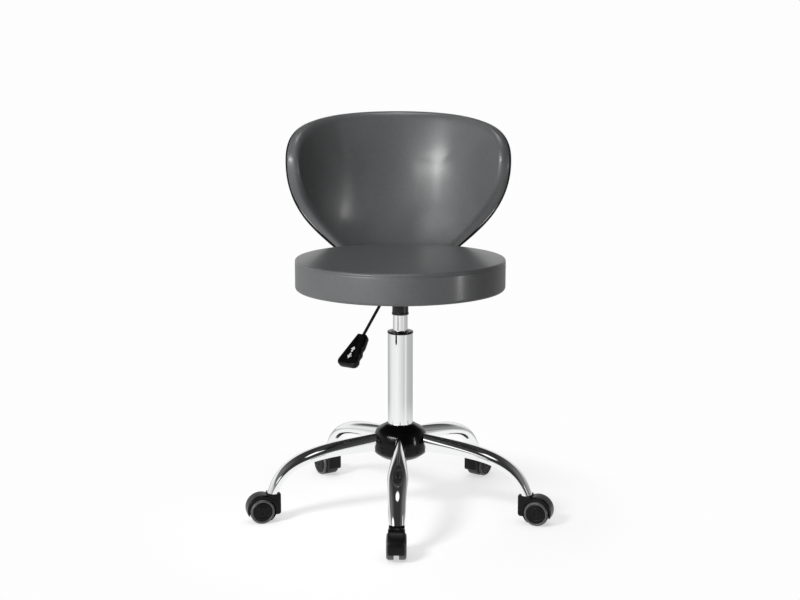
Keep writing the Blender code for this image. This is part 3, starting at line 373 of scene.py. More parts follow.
def bright_chrome():
    """Plated tube: almost a mirror, with faint smears and a slight waviness of the metal under it."""
    finish = Finish("bright_chrome")
    smear = finish.noise(14.0, 5.0, finish.stretched(1.0, 1.0, 0.35))
    wave = finish.noise(30.0, 1.0)
    return finish.shade({
        "Base Color": finish.blend(smear, (0.86, 0.865, 0.87), (0.94, 0.945, 0.95)),
        "Metallic": 1.0,
        "Roughness": 0.05 + smear * 0.05,
        "Normal": finish.bump(wave, 0.03, 0.002),
    })


def clouded(name, dark, light, cloud, fine, gloss, bump, more, drawn=1.0):
    """A colour clouded between two, with a finer texture in its gloss and on its surface.

    Cloud and fine are (scale, detail) of the two noises. Gloss is the roughness and what each noise adds.
    Bump is the strength and depth of the fine one, which is drawn out along Z.
    """
    finish = Finish(name)
    clouds = finish.noise(*cloud)
    texture = finish.noise(*fine, finish.stretched(1.0, 1.0, drawn))
    return finish.shade({
        "Base Color": finish.blend(clouds, dark, light),
        "Roughness": gloss[0] + clouds * gloss[1] + texture * gloss[2],
        "Normal": finish.bump(texture, *bump),
        **more,
    })


def moulded_black(name, shade, roughness, grain, gloss):
    """Injection-moulded plastic with a spark-eroded grain."""
    dark = (shade * 0.85, shade * 0.85, shade * 0.87)
    light = (shade * 1.2, shade * 1.2, shade * 1.22)
    rough = (roughness - 0.05, 0.08, 0.04)
    more = {"Specular IOR Level": gloss}
    return clouded(name, dark, light, (35.0, 3.0), (1900.0, 2.0), rough, (grain, 0.0002), more)


def powder_coat():
    """Black powder coat with a slight orange peel."""
    dark = (0.006, 0.006, 0.0065)
    light = (0.011, 0.011, 0.0115)
    rough = (0.26, 0.0, 0.14)
    more = {"Specular IOR Level": 0.4}
    return clouded("powder_coat", dark, light, (40.0, 3.0), (520.0, 2.0), rough, (0.18, 0.0003), more)


def zinc_steel():
    """Zinc-plated steel of the bolts, pins and axles, with fine scratches along them."""
    dark = (0.50, 0.51, 0.52)
    light = (0.66, 0.66, 0.66)
    rough = (0.22, 0.12, 0.06)
    more = {"Metallic": 1.0}
    return clouded("zinc_steel", dark, light, (90.0, 4.0), (700.0, 2.0), rough, (0.08, 0.0002), more, 0.1)


def grey_tread():
    """Soft grey polyurethane of the caster wheels, scuffed by the floor."""
    finish = Finish("grey_tread")
    cloud = finish.noise(60.0, 4.0)
    scuff = finish.noise(420.0, 3.0)
    colour = finish.blend(cloud * 0.7 + scuff * 0.3, (0.086, 0.087, 0.089), (0.116, 0.117, 0.119))
    return finish.shade({
        "Base Color": colour,
        "Roughness": 0.32 + scuff * 0.10,
        "Normal": finish.bump(scuff, 0.03, 0.0002),
    })


def stained_plywood():
    """Black-stained plywood: long grain on the faces and thin plies along the height."""
    finish = Finish("stained_plywood")
    grain = finish.noise(26.0, 5.0, finish.stretched(0.25, 6.0, 6.0))
    ply = finish.node(
        "ShaderNodeTexWave",
        {"wave_type": "BANDS", "bands_direction": "Z"},
        {"Vector": finish.place(), "Scale": 130.0, "Distortion": 0.6},
        output="Fac",
    )
    tone = grain * 0.75 + ply * 0.25
    return finish.shade({
        "Base Color": finish.blend(tone, (0.016, 0.015, 0.014), (0.034, 0.031, 0.028)),
        "Roughness": 0.55 + grain * 0.2,
        "Normal": finish.bump(grain, 0.2, 0.0004),
    })


def pale_plastic():
    """Pale acetal of the guide bush."""
    finish = Finish("pale_plastic")
    cloud = finish.noise(50.0, 3.0)
    return finish.shade({
        "Base Color": finish.blend(cloud, (0.62, 0.62, 0.60), (0.74, 0.74, 0.71)),
        "Roughness": 0.38 + cloud * 0.12,
    })


def white_print():
    """White pad print, thin and a little worn."""
    finish = Finish("white_print")
    wear = finish.noise(900.0, 3.0)
    kept = finish.ramp(wear, (0.30, 0.0), (0.45, 1.0))
    return finish.shade({
        "Base Color": finish.blend(kept, (0.42, 0.42, 0.42), (0.80, 0.80, 0.79)),
        "Roughness": 0.40 + wear * 0.2,
    })


UPHOLSTERY = grey_upholstery()
CHROME = bright_chrome()
GLOSS_BLACK = moulded_black("gloss_black_plastic", 0.0025, 0.15, 0.02, 0.20)
SATIN_BLACK = moulded_black("satin_black_plastic", 0.0030, 0.32, 0.03, 0.18)
# A dark cord that is also painted shade along the back's edge.
WELT_AND_EDGE_SHADE = moulded_black("welt_cord_and_edge_shade", 0.016, 0.45, 0.05, 0.30)
TREAD = grey_tread()
POWDER = powder_coat()
ZINC = zinc_steel()
PLYWOOD = stained_plywood()
PALE = pale_plastic()
PRINT = white_print()


def mesh_from(points, faces):
    """A mesh with doubled points welded and its faces turned outwards."""
    mesh = bpy.data.meshes.new("piece")
    mesh.from_pydata([tuple(point) for point in points], [], faces)
    return cleaned(mesh)


def cleaned(mesh, weld=True):
    shape = bmesh.new()
    shape.from_mesh(mesh)
    if weld:
        bmesh.ops.remove_doubles(shape, verts=shape.verts, dist=1e-6)
        bmesh.ops.dissolve_degenerate(shape, edges=shape.edges, dist=1e-7)
    bmesh.ops.recalc_face_normals(shape, faces=shape.faces)
    shape.to_mesh(mesh)
    shape.free()
    return mesh


def band(row, following):
    """Faces between two closed rows of points, which are given by their numbers."""
    count = len(row)
    pairs = [(i, (i + 1) % count) for i in range(count)]
    return [(row[i], row[after], following[after], following[i]) for i, after in pairs]


def skin(rings, end_caps=False):
    """A mesh through closed rings of equal length, each joined to the next."""
    count = len(rings[0])
    points = [point for ring in rings for point in ring]
    rows = [tuple(range(start, start + count)) for start in range(0, len(points), count)]
    faces = []
    for row, following in zip(rows, rows[1:]):
        faces += band(row, following)
    if end_caps:
        faces += [rows[0], rows[-1]]
    return mesh_from(points, faces)


def eased(profile, steps=5):
    """A profile whose corners are rounded. A corner is (across, up, rounding)."""
    made = [Vector(profile[0][:2])]
    for before, corner, after in zip(profile, profile[1:], profile[2:]):
        middle = Vector(corner[:2])
        back = Vector(before[:2]) - middle
        ahead = Vector(after[:2]) - middle
        rounding = min(corner[2] if len(corner) > 2 else 0.0, 0.48 * back.length, 0.48 * ahead.length)
        if rounding <= 0.0:
            made.append(middle)
            continue
        start = middle + back.normalized() * rounding
        end = middle + ahead.normalized() * rounding
        for i in range(steps + 1):
            share = i / steps
            made.append((1 - share) ** 2 * start + 2 * share * (1 - share) * middle + share**2 * end)
    made.append(Vector(profile[-1][:2]))
    return made


def once_round(steps):
    return [2 * math.pi * i / steps for i in range(steps)]


def quarter_turn(steps):
    return [math.pi / 2 * i / steps for i in range(steps + 1)]


def circle(radius, height, steps):
    return [(radius * math.cos(angle), radius * math.sin(angle), height) for angle in once_round(steps)]


def oval(middle, tilt, height, width, sides):
    """A ring round a point (x, z) of a line in the plane of X and Z, square to the line's tilt."""
    ring = []
    for angle in once_round(sides):
        up = height / 2 * math.sin(angle)
        across = width / 2 * math.cos(angle)
        ring.append((middle[0] - up * math.sin(tilt), across, middle[1] + up * math.cos(tilt)))
    return ring


def turned(profile, steps=TURNED_STEPS):
    """A shape turned about Z from a profile of (radius, height), whose corners may have a rounding."""
    return skin([circle(radius, height, steps) for radius, height in eased(profile)])


def inward_normals(outline, reach=1):
    """Directions into a closed outline that runs clockwise, square to it at each of its points."""
    count = len(outline)
    normals = []
    for i in range(count):
        along = outline[(i + reach) % count] - outline[i - reach]
        normals.append(Vector((along.y, -along.x)).normalized())
    return normals


def arc(x, y, radius, start, end, count):
    angles = [math.radians(start + (end - start) * i / count) for i in range(count + 1)]
    return [(x + radius * math.cos(angle), y + radius * math.sin(angle)) for angle in angles]


def smooth_share(share):
    share = min(max(share, 0.0), 1.0)
    return share * share * (3 - 2 * share)


def about(axis, degrees):
    return Matrix.Rotation(math.radians(degrees), 4, axis)


def shift(x=0.0, y=0.0, z=0.0):
    return Matrix.Translation((x, y, z))


def bare_object(mesh, name="work"):
    obj = bpy.data.objects.new(name, mesh)
    bpy.context.scene.collection.objects.link(obj)
    return obj


def baked(obj):
    """The object's mesh with its modifiers applied. The object itself is removed."""
    bpy.context.view_layer.update()
    graph = bpy.context.evaluated_depsgraph_get()
    mesh = bpy.data.meshes.new_from_object(obj.evaluated_get(graph))
    bpy.data.objects.remove(obj)
    return mesh


def carved(mesh, joins=(), cuts=()):
    """The mesh with others joined to it and then others cut from it."""
    obj = bare_object(mesh)
    helpers = []
    for operation, others in (("UNION", joins), ("DIFFERENCE", cuts)):
        for other in others:
            helper = bare_object(other)
            helpers.append(helper)
            boolean = obj.modifiers.new(operation, "BOOLEAN")
            boolean.operation = operation
            boolean.solver = "EXACT"
            boolean.object = helper
    result = baked(obj)
    for helper in helpers:
        bpy.data.objects.remove(helper)
    return cleaned(result)


def rounded_edges(mesh, width, segments=2, angle=30):
    obj = bare_object(mesh)
    bevel = obj.modifiers.new("edges", "BEVEL")
    bevel.width = width
    bevel.segments = segments
    bevel.limit_method = "ANGLE"
    bevel.angle_limit = math.radians(angle)
    return baked(obj)


def box(low, high):
    low, high = Vector(low), Vector(high)
    matrix = Matrix.Translation((low + high) / 2) @ Matrix.Diagonal((*(high - low), 1.0))
    mesh = bpy.data.meshes.new("box")
    shape = bmesh.new()
    bmesh.ops.create_cube(shape, size=1.0, matrix=matrix)
    shape.to_mesh(mesh)
    shape.free()
    return mesh


def slab(outline, low, high):
    """A flat outline in XY, raised from one height to another."""
    return skin([[(x, y, z) for x, y in outline] for z in (low, high)], end_caps=True)


def wall(outline, near, far):
    """An upright outline in XZ, drawn out from one Y to another."""
    return skin([[(x, y, z) for x, z in outline] for y in (near, far)], end_caps=True)


def moved(mesh, matrix):
    copy = mesh.copy()
    copy.transform(matrix)
    return copy


def piece(name, mesh, finish, body, replaced=(), place=COLUMN, sharp=40):
    """A finished piece that rides on a body of the stool and stands for solids of it."""
    mesh.transform(place)
    obj = bare_object(mesh, name)
    mesh.materials.clear()
    mesh.materials.append(finish.material)
    mesh.shade_smooth()
    mesh.set_sharp_from_angle(angle=math.radians(sharp))
    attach(obj, body)
    if replaced:
        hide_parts(*replaced)
    return obj


# Upholstery

def panel(outline, middle, block, rim, under):
    """A padded panel on the flat: a block of faces in its middle, rings out to its outline, and its rim.

    The outline holds four times PANEL_STEPS points. Rim and underside are (inset, depth) and (share, depth).
    Returns points as (across, up, depth), faces, and the number of the first point of each ring.
    """
    steps = PANEL_STEPS
    count = 4 * steps
    points = []
    faces = []
    for row in range(steps + 1):
        for column in range(steps + 1):
            across = middle.x + block.x * (2 * column / steps - 1)
            up = middle.y + block.y * (2 * row / steps - 1)
            points.append((across, up, 0.0))
    for row in range(steps):
        for column in range(steps):
            corner = row * (steps + 1) + column
            faces.append((corner, corner + 1, corner + steps + 2, corner + steps + 1))
    loop = [(column, steps) for column in range(steps // 2, steps)]
    loop += [(steps, row) for row in range(steps, 0, -1)]
    loop += [(column, 0) for column in range(steps, 0, -1)]
    loop += [(0, row) for row in range(steps)]
    loop += [(column, steps) for column in range(steps // 2)]
    previous = [row * (steps + 1) + column for column, row in loop]
    block_edge = [Vector(points[index][:2]) for index in previous]
    inward = inward_normals(outline)
    levels = []
    first_inset = rim[0][0]
    for ring in range(1, FACE_RINGS + 1):
        share = ring / FACE_RINGS
        flat = []
        for i in range(count):
            edge = outline[i] + inward[i] * first_inset
            flat.append((*block_edge[i].lerp(edge, share), rim[0][1] * (ring == FACE_RINGS)))
        levels.append(flat)
    for inset, depth in rim[1:]:
        levels.append([(*(outline[i] + inward[i] * inset), depth) for i in range(count)])
    for share, depth in under:
        levels.append([(*middle.lerp(outline[i], share), depth) for i in range(count)])
    starts = []
    for flat in levels:
        starts.append(len(points))
        current = list(range(len(points), len(points) + count))
        points += flat
        faces += band(previous, current)
        previous = current
    faces.append(tuple(previous))
    return points, faces, starts


def laid_out(points, faces, lay):
    mesh = bpy.data.meshes.new("panel")
    mesh.from_pydata([lay(*point) for point in points], [], faces)
    return cleaned(mesh, weld=False)


def swollen(mesh, held, most):
    """The cover blown up over its foam by a cloth simulation, by so much at most. Held points stay."""
    rest = [vertex.co.copy() for vertex in mesh.vertices]
    obj = bare_object(mesh)
    group = obj.vertex_groups.new(name="held")
    group.add(sorted(held), 1.0, "REPLACE")
    cloth = obj.modifiers.new("cloth", "CLOTH")
    for name, value in CLOTH_SETTINGS.items():
        setattr(cloth.settings, name, value)
    cloth.settings.effector_weights.gravity = 0.0
    cloth.settings.vertex_group_mass = "held"
    cloth.point_cache.frame_start = 1
    cloth.point_cache.frame_end = CLOTH_FRAMES
    scene = bpy.context.scene
    for number in range(1, CLOTH_FRAMES + 1):
        scene.frame_set(number)
    result = baked(obj)
    scene.frame_set(1)
    steps = []
    for vertex, start in zip(result.vertices, rest):
        step = vertex.co - start
        reach = max(step.length, 1e-9)
        steps.append(step * (most * math.tanh(reach / most) / reach))
    for _ in range(SWELL_EASING):
        totals = [step.copy() for step in steps]
        counts = [1] * len(steps)
        for edge in result.edges:
            first, second = edge.vertices
            for index, other in ((first, second), (second, first)):
                totals[index] += steps[other]
                counts[index] += 1
        steps = [total / count for total, count in zip(totals, counts)]
        for index in held:
            steps[index] = Vector()
    for vertex, start, step in zip(result.vertices, rest, steps):
        vertex.co = start + step
    return result


def subdivided(mesh):
    obj = bare_object(mesh)
    smooth = obj.modifiers.new("smooth", "SUBSURF")
    smooth.levels = 1
    smooth.render_levels = 1
    return baked(obj)


def seat_outline():
    """The seat's edge, once round clockwise from its back."""
    count = 4 * PANEL_STEPS
    radius = SEAT_RADIUS - SEAT_SWELL / 2
    angles = [math.radians(90) - 2 * math.pi * i / count for i in range(count)]
    return [Vector((radius * math.cos(angle), radius * math.sin(angle))) for angle in angles]


def lay_seat(across, up, depth):
    share = min(math.hypot(across, up) / SEAT_RADIUS, 1.0)
    crown = SEAT_CROWN * (1 - share**2)
    return (across, up, SEAT_RIM_Z - SEAT_SWELL / 2 + crown - depth)


def seat_cushion():
    height = SEAT_RIM_Z - SEAT_SWELL / 2 - SEAT_HEM_Z
    edge = [(0.020, 0.0)]
    edge += [(SEAT_EDGE * (1 - math.sin(turn)), SEAT_EDGE * (1 - math.cos(turn))) for turn in quarter_turn(5)]
    edge += [(0.0002, SEAT_EDGE + SEAT_SEAM), (SEAT_SEAM, SEAT_EDGE + 1.6 * SEAT_SEAM)]
    edge += [(0.0002, SEAT_EDGE + 2.2 * SEAT_SEAM), (0.0, SEAT_EDGE + 3.5 * SEAT_SEAM)]
    band = edge[-1][1]
    side = [(0.0, band + (height - band - 0.006) * share) for share in (0.2, 0.4, 0.6, 0.8, 1.0)]
    hem = 0.005
    under = [(hem * (1 - math.cos(turn)), height - hem * (1 - math.sin(turn))) for turn in quarter_turn(4)]
    rim = edge + side + under
    hem_share = 1 - HEM_REACH / SEAT_RADIUS
    bottom = [(hem_share, height), (hem_share, height - 0.0012)]
    block = Vector((0.085, 0.085))
    points, faces, starts = panel(seat_outline(), Vector((0.0, 0.0)), block, rim, bottom)
    held = range(starts[FACE_RINGS], len(points))
    return swollen(laid_out(points, faces, lay_seat), held, SEAT_SWELL)


def back_half_outline():
    top = Vector((0.0, BACK_TOP_Z))
    side = Vector((BACK_HALF_WIDTH, BACK_WIDEST_Z))
    foot = Vector((BACK_FOOT_HALF_WIDTH, BACK_BOTTOM_Z + BACK_FOOT_RISE))
    base = Vector((0.0, BACK_BOTTOM_Z))
    upper = side.y - foot.y
    shoulder = Vector((0.0, BACK_SHOULDER_DRAW * (top.y - side.y)))
    curves = (
        (top, top + Vector((BACK_TOP_DRAW * side.x, 0.0)), side + shoulder, side),
        (side, side - Vector((0.0, 0.305 * upper)), foot + Vector((BACK_FLANK, 0.50 * upper)), foot),
        (foot, foot - Vector((0.2, 0.9)) * BACK_FOOT_RISE, base + Vector((0.6 * foot.x, 0.0)), base),
    )
    half = []
    for start, handle, other_handle, end in curves:
        half += [Vector(point[:2]) for point in interpolate_bezier(start, handle, other_handle, end, 60)[:-1]]
    return [*half, base]


def evenly(path, count):
    """Points at even steps along a path, both ends included."""
    lengths = [0.0]
    for point, following in zip(path, path[1:]):
        lengths.append(lengths[-1] + (following - point).length)
    made = []
    index = 0
    for step in range(count + 1):
        goal = lengths[-1] * step / count
        while index < len(path) - 2 and lengths[index + 1] < goal:
            index += 1
        span = lengths[index + 1] - lengths[index]
        made.append(path[index].lerp(path[index + 1], (goal - lengths[index]) / span))
    return made


def back_outline():
    """The back's edge on the flat, once round clockwise from the middle of its top."""
    right = evenly(back_half_outline(), 2 * PANEL_STEPS)
    left = [Vector((-point.x, point.y)) for point in right[1:-1]][::-1]
    return right + left


def lay_back(across, up, depth):
    turn = across / (BACK_RADIUS + BACK_DEPTH)
    radius = BACK_RADIUS + depth
    lean = BACK_LEAN * (up - SEAT_RIM_Z)
    return (radius * math.sin(turn), BACK_AXIS_Y + lean + radius * math.cos(turn), up)


BACK_MIDDLE = Vector((0.0, (BACK_TOP_Z + BACK_BOTTOM_Z) / 2))
BACK_BLOCK = Vector((0.115, 0.060))
UNDER_SHARES = (0.80, 0.62, 0.45, 0.30, 0.15, 0.04)


def crowned(across, up, depth):
    """Depth of a point of the pad, whose face is full in its middle. Its seam stays in place."""
    rise = 2 * (up - BACK_MIDDLE.y) / (BACK_TOP_Z - BACK_BOTTOM_Z)
    run = across / BACK_HALF_WIDTH
    fall = BACK_CROWN * rise**2 - BACK_DOME * max(1 - rise**2, 0.0) * max(1 - run**2, 0.0)
    return depth + fall * max(1 - depth / BACK_POCKET, 0.0)


def back_pad():
    """The padded front of the back, with a soft crease round its face and a rolled edge down to the seam."""
    rim = [
        (0.030, 0.0),
        (0.018, 0.0),
        (0.0115, 0.0005),
        (0.0078, 0.0015),
        (0.0048, 0.0032),
        (0.0025, 0.0056),
        (0.0010, 0.0088),
        (0.0002, 0.0130),
        (0.0, 0.0185),
        (0.0006, 0.0218),
        (0.0022, 0.0238),
        (0.0055, BACK_PAD),
    ]
    under = [(0.945, BACK_PAD), (0.945, BACK_POCKET), *((share, BACK_POCKET) for share in UNDER_SHARES)]
    points, faces, starts = panel(back_outline(), BACK_MIDDLE, BACK_BLOCK, rim, under)
    points = [(across, up, crowned(across, up, max(depth, BACK_SWELL / 2))) for across, up, depth in points]
    held = range(starts[FACE_RINGS + 7], len(points))
    return swollen(laid_out(points, faces, lay_back), held, BACK_SWELL)


def back_cover():
    """The rear cover, pulled over the board's edge with a sunk seam along the pad."""
    depth = BACK_DEPTH - BACK_COVER_FRONT
    rim = [
        (0.034, 0.0),
        (0.024, 0.0),
        (0.0150, 0.0003),
        (0.0092, 0.0010),
        (0.0056, 0.0022),
        (0.0036, 0.0036),
        (0.0040, depth),
    ]
    under = [(0.94, depth), *((share, depth) for share in UNDER_SHARES)]
    points, faces, _ = panel(back_outline(), BACK_MIDDLE, BACK_BLOCK, rim, under)
    points = [(across, up, BACK_DEPTH - depth_in) for across, up, depth_in in points]
    return laid_out(points, faces, lay_back)


def back_welt_and_edge_shade():
    """The dark cord sewn into the seam between the pad and the rear cover. Its dark line is also painted
    shade along the back's edge, and it is thicker along the lower edges, where that shade is deepest.
    """
    outline = back_outline()
    rings = []
    for point, inward in zip(outline, inward_normals(outline)):
        lower = smooth_share((WELT_LOW_Z - point.y) / WELT_LOW_RUN)
        radius = WELT_RADIUS + (WELT_LOW_RADIUS - WELT_RADIUS) * lower
        ring = []
        for angle in once_round(WELT_SIDES):
            flat = point + inward * (WELT_INSET * (1 - lower) + radius * math.cos(angle))
            ring.append(lay_back(*flat, WELT_DEPTH + radius * math.sin(angle)))
        rings.append(ring)
    return skin([*rings, rings[0]])


for name, cover, replaced in (
    ("seat_cushion", seat_cushion(), ("seat_cover", "seat_foam")),
    ("back_cushion", back_pad(), ("back_pad",)),
    ("back_rear_cover", back_cover(), ("back_cover",)),
):
    cushion = piece(name, subdivided(cover), UPHOLSTERY, "seat", replaced)
piece("back_welt_and_edge_shade", subdivided(back_welt_and_edge_shade()), WELT_AND_EDGE_SHADE, "seat")


# Column and hub

def stand_tube():
    inner = TUBE_RADIUS - TUBE_WALL
    return turned([
        (inner, TUBE_BOTTOM_Z + TUBE_FLOOR),
        (inner, TUBE_TOP_Z),
        (TUBE_RADIUS, TUBE_TOP_Z, 0.0006),
        (TUBE_RADIUS, TUBE_BOTTOM_Z, 0.0006),
        (ROD_HOLE, TUBE_BOTTOM_Z),
        (ROD_HOLE, TUBE_BOTTOM_Z + TUBE_FLOOR),
        (inner, TUBE_BOTTOM_Z + TUBE_FLOOR),
    ])


def tube_cap():
    bottom = TUBE_TOP_Z + GAP
    outer = TUBE_RADIUS + CAP_LIP
    inner = CYLINDER_RADIUS + SLIDE
    return turned([
        (inner, bottom),
        (inner, CAP_TOP_Z, 0.0006),
        (inner + 0.0030, CAP_TOP_Z, 0.0008),
        (inner + 0.0042, CAP_TOP_Z - 0.0008, 0.0008),
        (outer, CAP_TOP_Z - 0.0008, 0.0026),
        (outer, bottom, 0.0006),
        (inner, bottom),
    ])


def gas_cylinder():
    return turned([
        (ROD_HOLE, CYLINDER_BOTTOM_Z),
        (ROD_HOLE, CYLINDER_BOTTOM_Z + CYLINDER_FLOOR),
        (CYLINDER_RADIUS - CYLINDER_WALL, CYLINDER_BOTTOM_Z + CYLINDER_FLOOR),
        (CYLINDER_RADIUS - CYLINDER_WALL, CYLINDER_TOP_Z - CYLINDER_HEAD),
        (PIN_HOLE, CYLINDER_TOP_Z - CYLINDER_HEAD),
        (PIN_HOLE, CYLINDER_TOP_Z),
        (CYLINDER_RADIUS - 0.0010, CYLINDER_TOP_Z, 0.0010),
        (CYLINDER_RADIUS, SOCKET_BOTTOM_Z),
        (CYLINDER_RADIUS, CYLINDER_BOTTOM_Z, 0.0008),
        (ROD_HOLE, CYLINDER_BOTTOM_Z),
    ])


def hub_shell():
    """The hub's moulded cover: a collar round the tube, a sloping shoulder and a bellied side."""
    collar = TUBE_RADIUS + 0.0026
    return turned([
        (TUBE_RADIUS + GAP, HUB_TOP_Z - HUB_COLLAR),
        (TUBE_RADIUS + GAP, HUB_TOP_Z, 0.0006),
        (collar, HUB_TOP_Z, 0.0010),
        (HUB_RADIUS - 0.0065, HUB_TOP_Z - 0.0115, 0.0070),
        (HUB_RADIUS - 0.0015, HUB_TOP_Z - 0.0300, 0.0090),
        (HUB_RADIUS, HUB_BOTTOM_Z + 0.0120, 0.0080),
        (HUB_FOOT_RADIUS, HUB_BOTTOM_Z, 0.0030),
        (HUB_BORE, HUB_BOTTOM_Z, 0.0010),
        (HUB_BORE, HUB_TOP_Z - HUB_COLLAR),
        (TUBE_RADIUS + GAP, HUB_TOP_Z - HUB_COLLAR),
    ])


piece("chrome_stand_tube", stand_tube(), CHROME, "base", ("stand_tube",))
piece("column_cap", tube_cap(), GLOSS_BLACK, "base", ("tube_cap",))
piece("chrome_gas_cylinder", gas_cylinder(), CHROME, "seat", ("gas_cylinder",))
piece("hub_cover", hub_shell(), GLOSS_BLACK, "base", ("hub_shell",))


# Plate, bracket and bolts

CORNERS = ((1, 1), (-1, 1), (-1, -1), (1, -1))


def rounded_square(side, corner):
    reach = side / 2 - corner
    points = []
    for start, (x, y) in zip((0, 90, 180, 270), CORNERS):
        points += arc(x * reach, y * reach, corner, start, start + 90, 8)
    return points


def plate_ear(side):
    """One of the two ears beside the lever, in the lever's upright plane."""
    low = PLATE_BOTTOM_Z - EAR_DROP
    high = PLATE_BOTTOM_Z + 0.001
    outline = eased([
        (EAR_START, high), (EAR_START, low, 0.002), (EAR_END, low, 0.004), (EAR_END, high), (EAR_START, high),
    ])[:-1]
    return moved(wall(outline, side * EAR_NEAR, side * EAR_FAR), about("Z", LEVER_AZIMUTH))


def seat_plate():
    """Steel plate under the seat with the welded socket of the column and the ears of the lever."""
    plate = slab(rounded_square(PLATE_SIDE, PLATE_CORNER), PLATE_BOTTOM_Z, PLATE_TOP_Z)
    plate = rounded_edges(plate, 0.0008, 2, 50)
    lip = SOCKET_RADIUS + SOCKET_LIP
    bore = CYLINDER_RADIUS + SLIDE
    socket = turned([
        (bore, SOCKET_BOTTOM_Z),
        (lip, SOCKET_BOTTOM_Z, 0.0008),
        (lip, SOCKET_BOTTOM_Z + 0.0038, 0.0008),
        (SOCKET_RADIUS, SOCKET_BOTTOM_Z + 0.0046, 0.0004),
        (SOCKET_RADIUS, PLATE_BOTTOM_Z - 0.0030, 0.0020),
        (SOCKET_RADIUS + 0.0030, PLATE_BOTTOM_Z + 0.0010),
        (bore - 0.0010, PLATE_BOTTOM_Z + 0.0010),
        (bore - 0.0010, CYLINDER_TOP_Z),
        (bore, SOCKET_BOTTOM_Z),
    ])
    window_low = (CYLINDER_RADIUS / 2, -LEVER_WAY, LEVER_Z - 0.0075)
    window_high = (EAR_START + 0.0025, LEVER_WAY, PLATE_BOTTOM_Z - GAP)
    window = moved(box(window_low, window_high), about("Z", LEVER_AZIMUTH))
    return carved(plate, joins=[socket, plate_ear(-1), plate_ear(1)], cuts=[window])


def strap_line():
    """Middle line of the bracket as (Y, Z), from its front end under the seat to its top behind the back."""
    lean = math.radians(BACK_LEAN_ANGLE)
    upright = BACK_AXIS_Y + BACK_RADIUS + BACK_DEPTH + GAP + STRAP_THICKNESS / 2
    corner_y = upright + BACK_LEAN * (STRAP_Z - SEAT_RIM_Z)
    bend_y = corner_y - STRAP_BEND * math.tan((math.pi / 2 - lean) / 2)
    bend = arc(bend_y, STRAP_Z + STRAP_BEND, STRAP_BEND, -90, -BACK_LEAN_ANGLE, 12)
    top = (upright + BACK_LEAN * (STRAP_TOP_Z - SEAT_RIM_Z), STRAP_TOP_Z)
    return [Vector(point) for point in ((STRAP_FRONT_Y, STRAP_Z), *bend, top)]


def back_strap():
    """Bent flat steel with rounded corners and broken edges."""
    line = strap_line()
    ends = [(1 - math.cos(turn)) * STRAP_CORNER for turn in quarter_turn(6)]
    first = (line[1] - line[0]).normalized()
    last = (line[-1] - line[-2]).normalized()
    path = [line[0] + first * run for run in ends] + line[1:-1]
    path += [line[-1] - last * run for run in ends[::-1]]
    half = STRAP_WIDTH / 2
    widths = [half - STRAP_CORNER + math.sqrt(STRAP_CORNER**2 - (STRAP_CORNER - run) ** 2) for run in ends]
    widths += [half] * (len(line) - 2) + widths[::-1]
    thick = STRAP_THICKNESS / 2
    rings = []
    for i, (middle, width) in enumerate(zip(path, widths)):
        along = (path[min(i + 1, len(path) - 1)] - path[max(i - 1, 0)]).normalized()
        across = Vector((-along.y, along.x))
        edge = [(width, 0.0), (width, thick * 0.7), (width - 0.0008, thick), (0.0, thick)]
        edge += [(-x, z) for x, z in edge[2::-1]]
        edge += [(-x, -z) for x, z in edge[1:-1]]
        rings.append([(x, *(middle + across * z)) for x, z in edge])
    return skin(rings, end_caps=True)


def bolt():
    """Button-head bolt along Z with a hexagon socket, its head under Z = 0."""
    count = 48
    rim = 0.0010
    dome = []
    for turn in quarter_turn(7)[:-2]:
        dome.append((BOLT_HEAD_RADIUS * math.cos(turn), -rim - (BOLT_HEAD - rim) * math.sin(turn)))
    profile = [(BOLT_RADIUS - 0.0005, BOLT_LENGTH), (BOLT_RADIUS, BOLT_LENGTH - 0.0005), (BOLT_RADIUS, 0.0)]
    profile += [(BOLT_HEAD_RADIUS, 0.0), *dome]
    rings = [circle(radius, z, count) for radius, z in profile]
    sixth = math.pi / 3
    hexagon = []
    for angle in once_round(count):
        reach = BOLT_KEY / math.cos(angle % sixth - sixth / 2)
        hexagon.append((reach * math.cos(angle), reach * math.sin(angle)))
    face = dome[-1][1] - 0.0002
    rings += [[(x, y, z) for x, y in hexagon] for z in (face, face + 0.0022)]
    return skin(rings, end_caps=True)


def back_bolt_place(height):
    """Frame of a bolt that holds the back: its head behind the bracket, its shank towards the sitter."""
    upright = BACK_AXIS_Y + BACK_RADIUS + BACK_DEPTH + 2 * GAP + STRAP_THICKNESS
    rear = upright + BACK_LEAN * (height - SEAT_RIM_Z)
    return shift(0.0, rear, height) @ about("X", 90 - BACK_LEAN_ANGLE)


piece("seat_steel_plate", seat_plate(), POWDER, "seat", ("seat_plate",))
piece("back_steel_bracket", back_strap(), POWDER, "seat", ("back_bracket",), sharp=50)
bolt_places = {}
for number, (x, y) in enumerate(CORNERS, 1):
    bolt_places[f"plate_bolt_{number}"] = shift(x * PLATE_BOLTS_AT, y * PLATE_BOLTS_AT, PLATE_BOTTOM_Z - GAP)
for number, (y, z) in enumerate(zip(STRAP_BOLTS_Y, BACK_BOLTS_Z), 1):
    bolt_places[f"bracket_bolt_{number}"] = shift(0.0, y, STRAP_Z - STRAP_THICKNESS / 2 - GAP)
    bolt_places[f"back_bolt_{number}"] = back_bolt_place(z)
screw = bolt()
for name, place in bolt_places.items():
    piece(f"{name}_head", screw.copy(), ZINC, "seat", (name,), COLUMN @ place)


# Legs

def leg_middle(share):
    rest = 1 - share
    pull = 3 * rest**2 * share * LEG_KNEE + 3 * rest * share**2 * LEG_ANKLE
    return rest**3 * LEG_ROOT + pull + share**3 * LEG_END


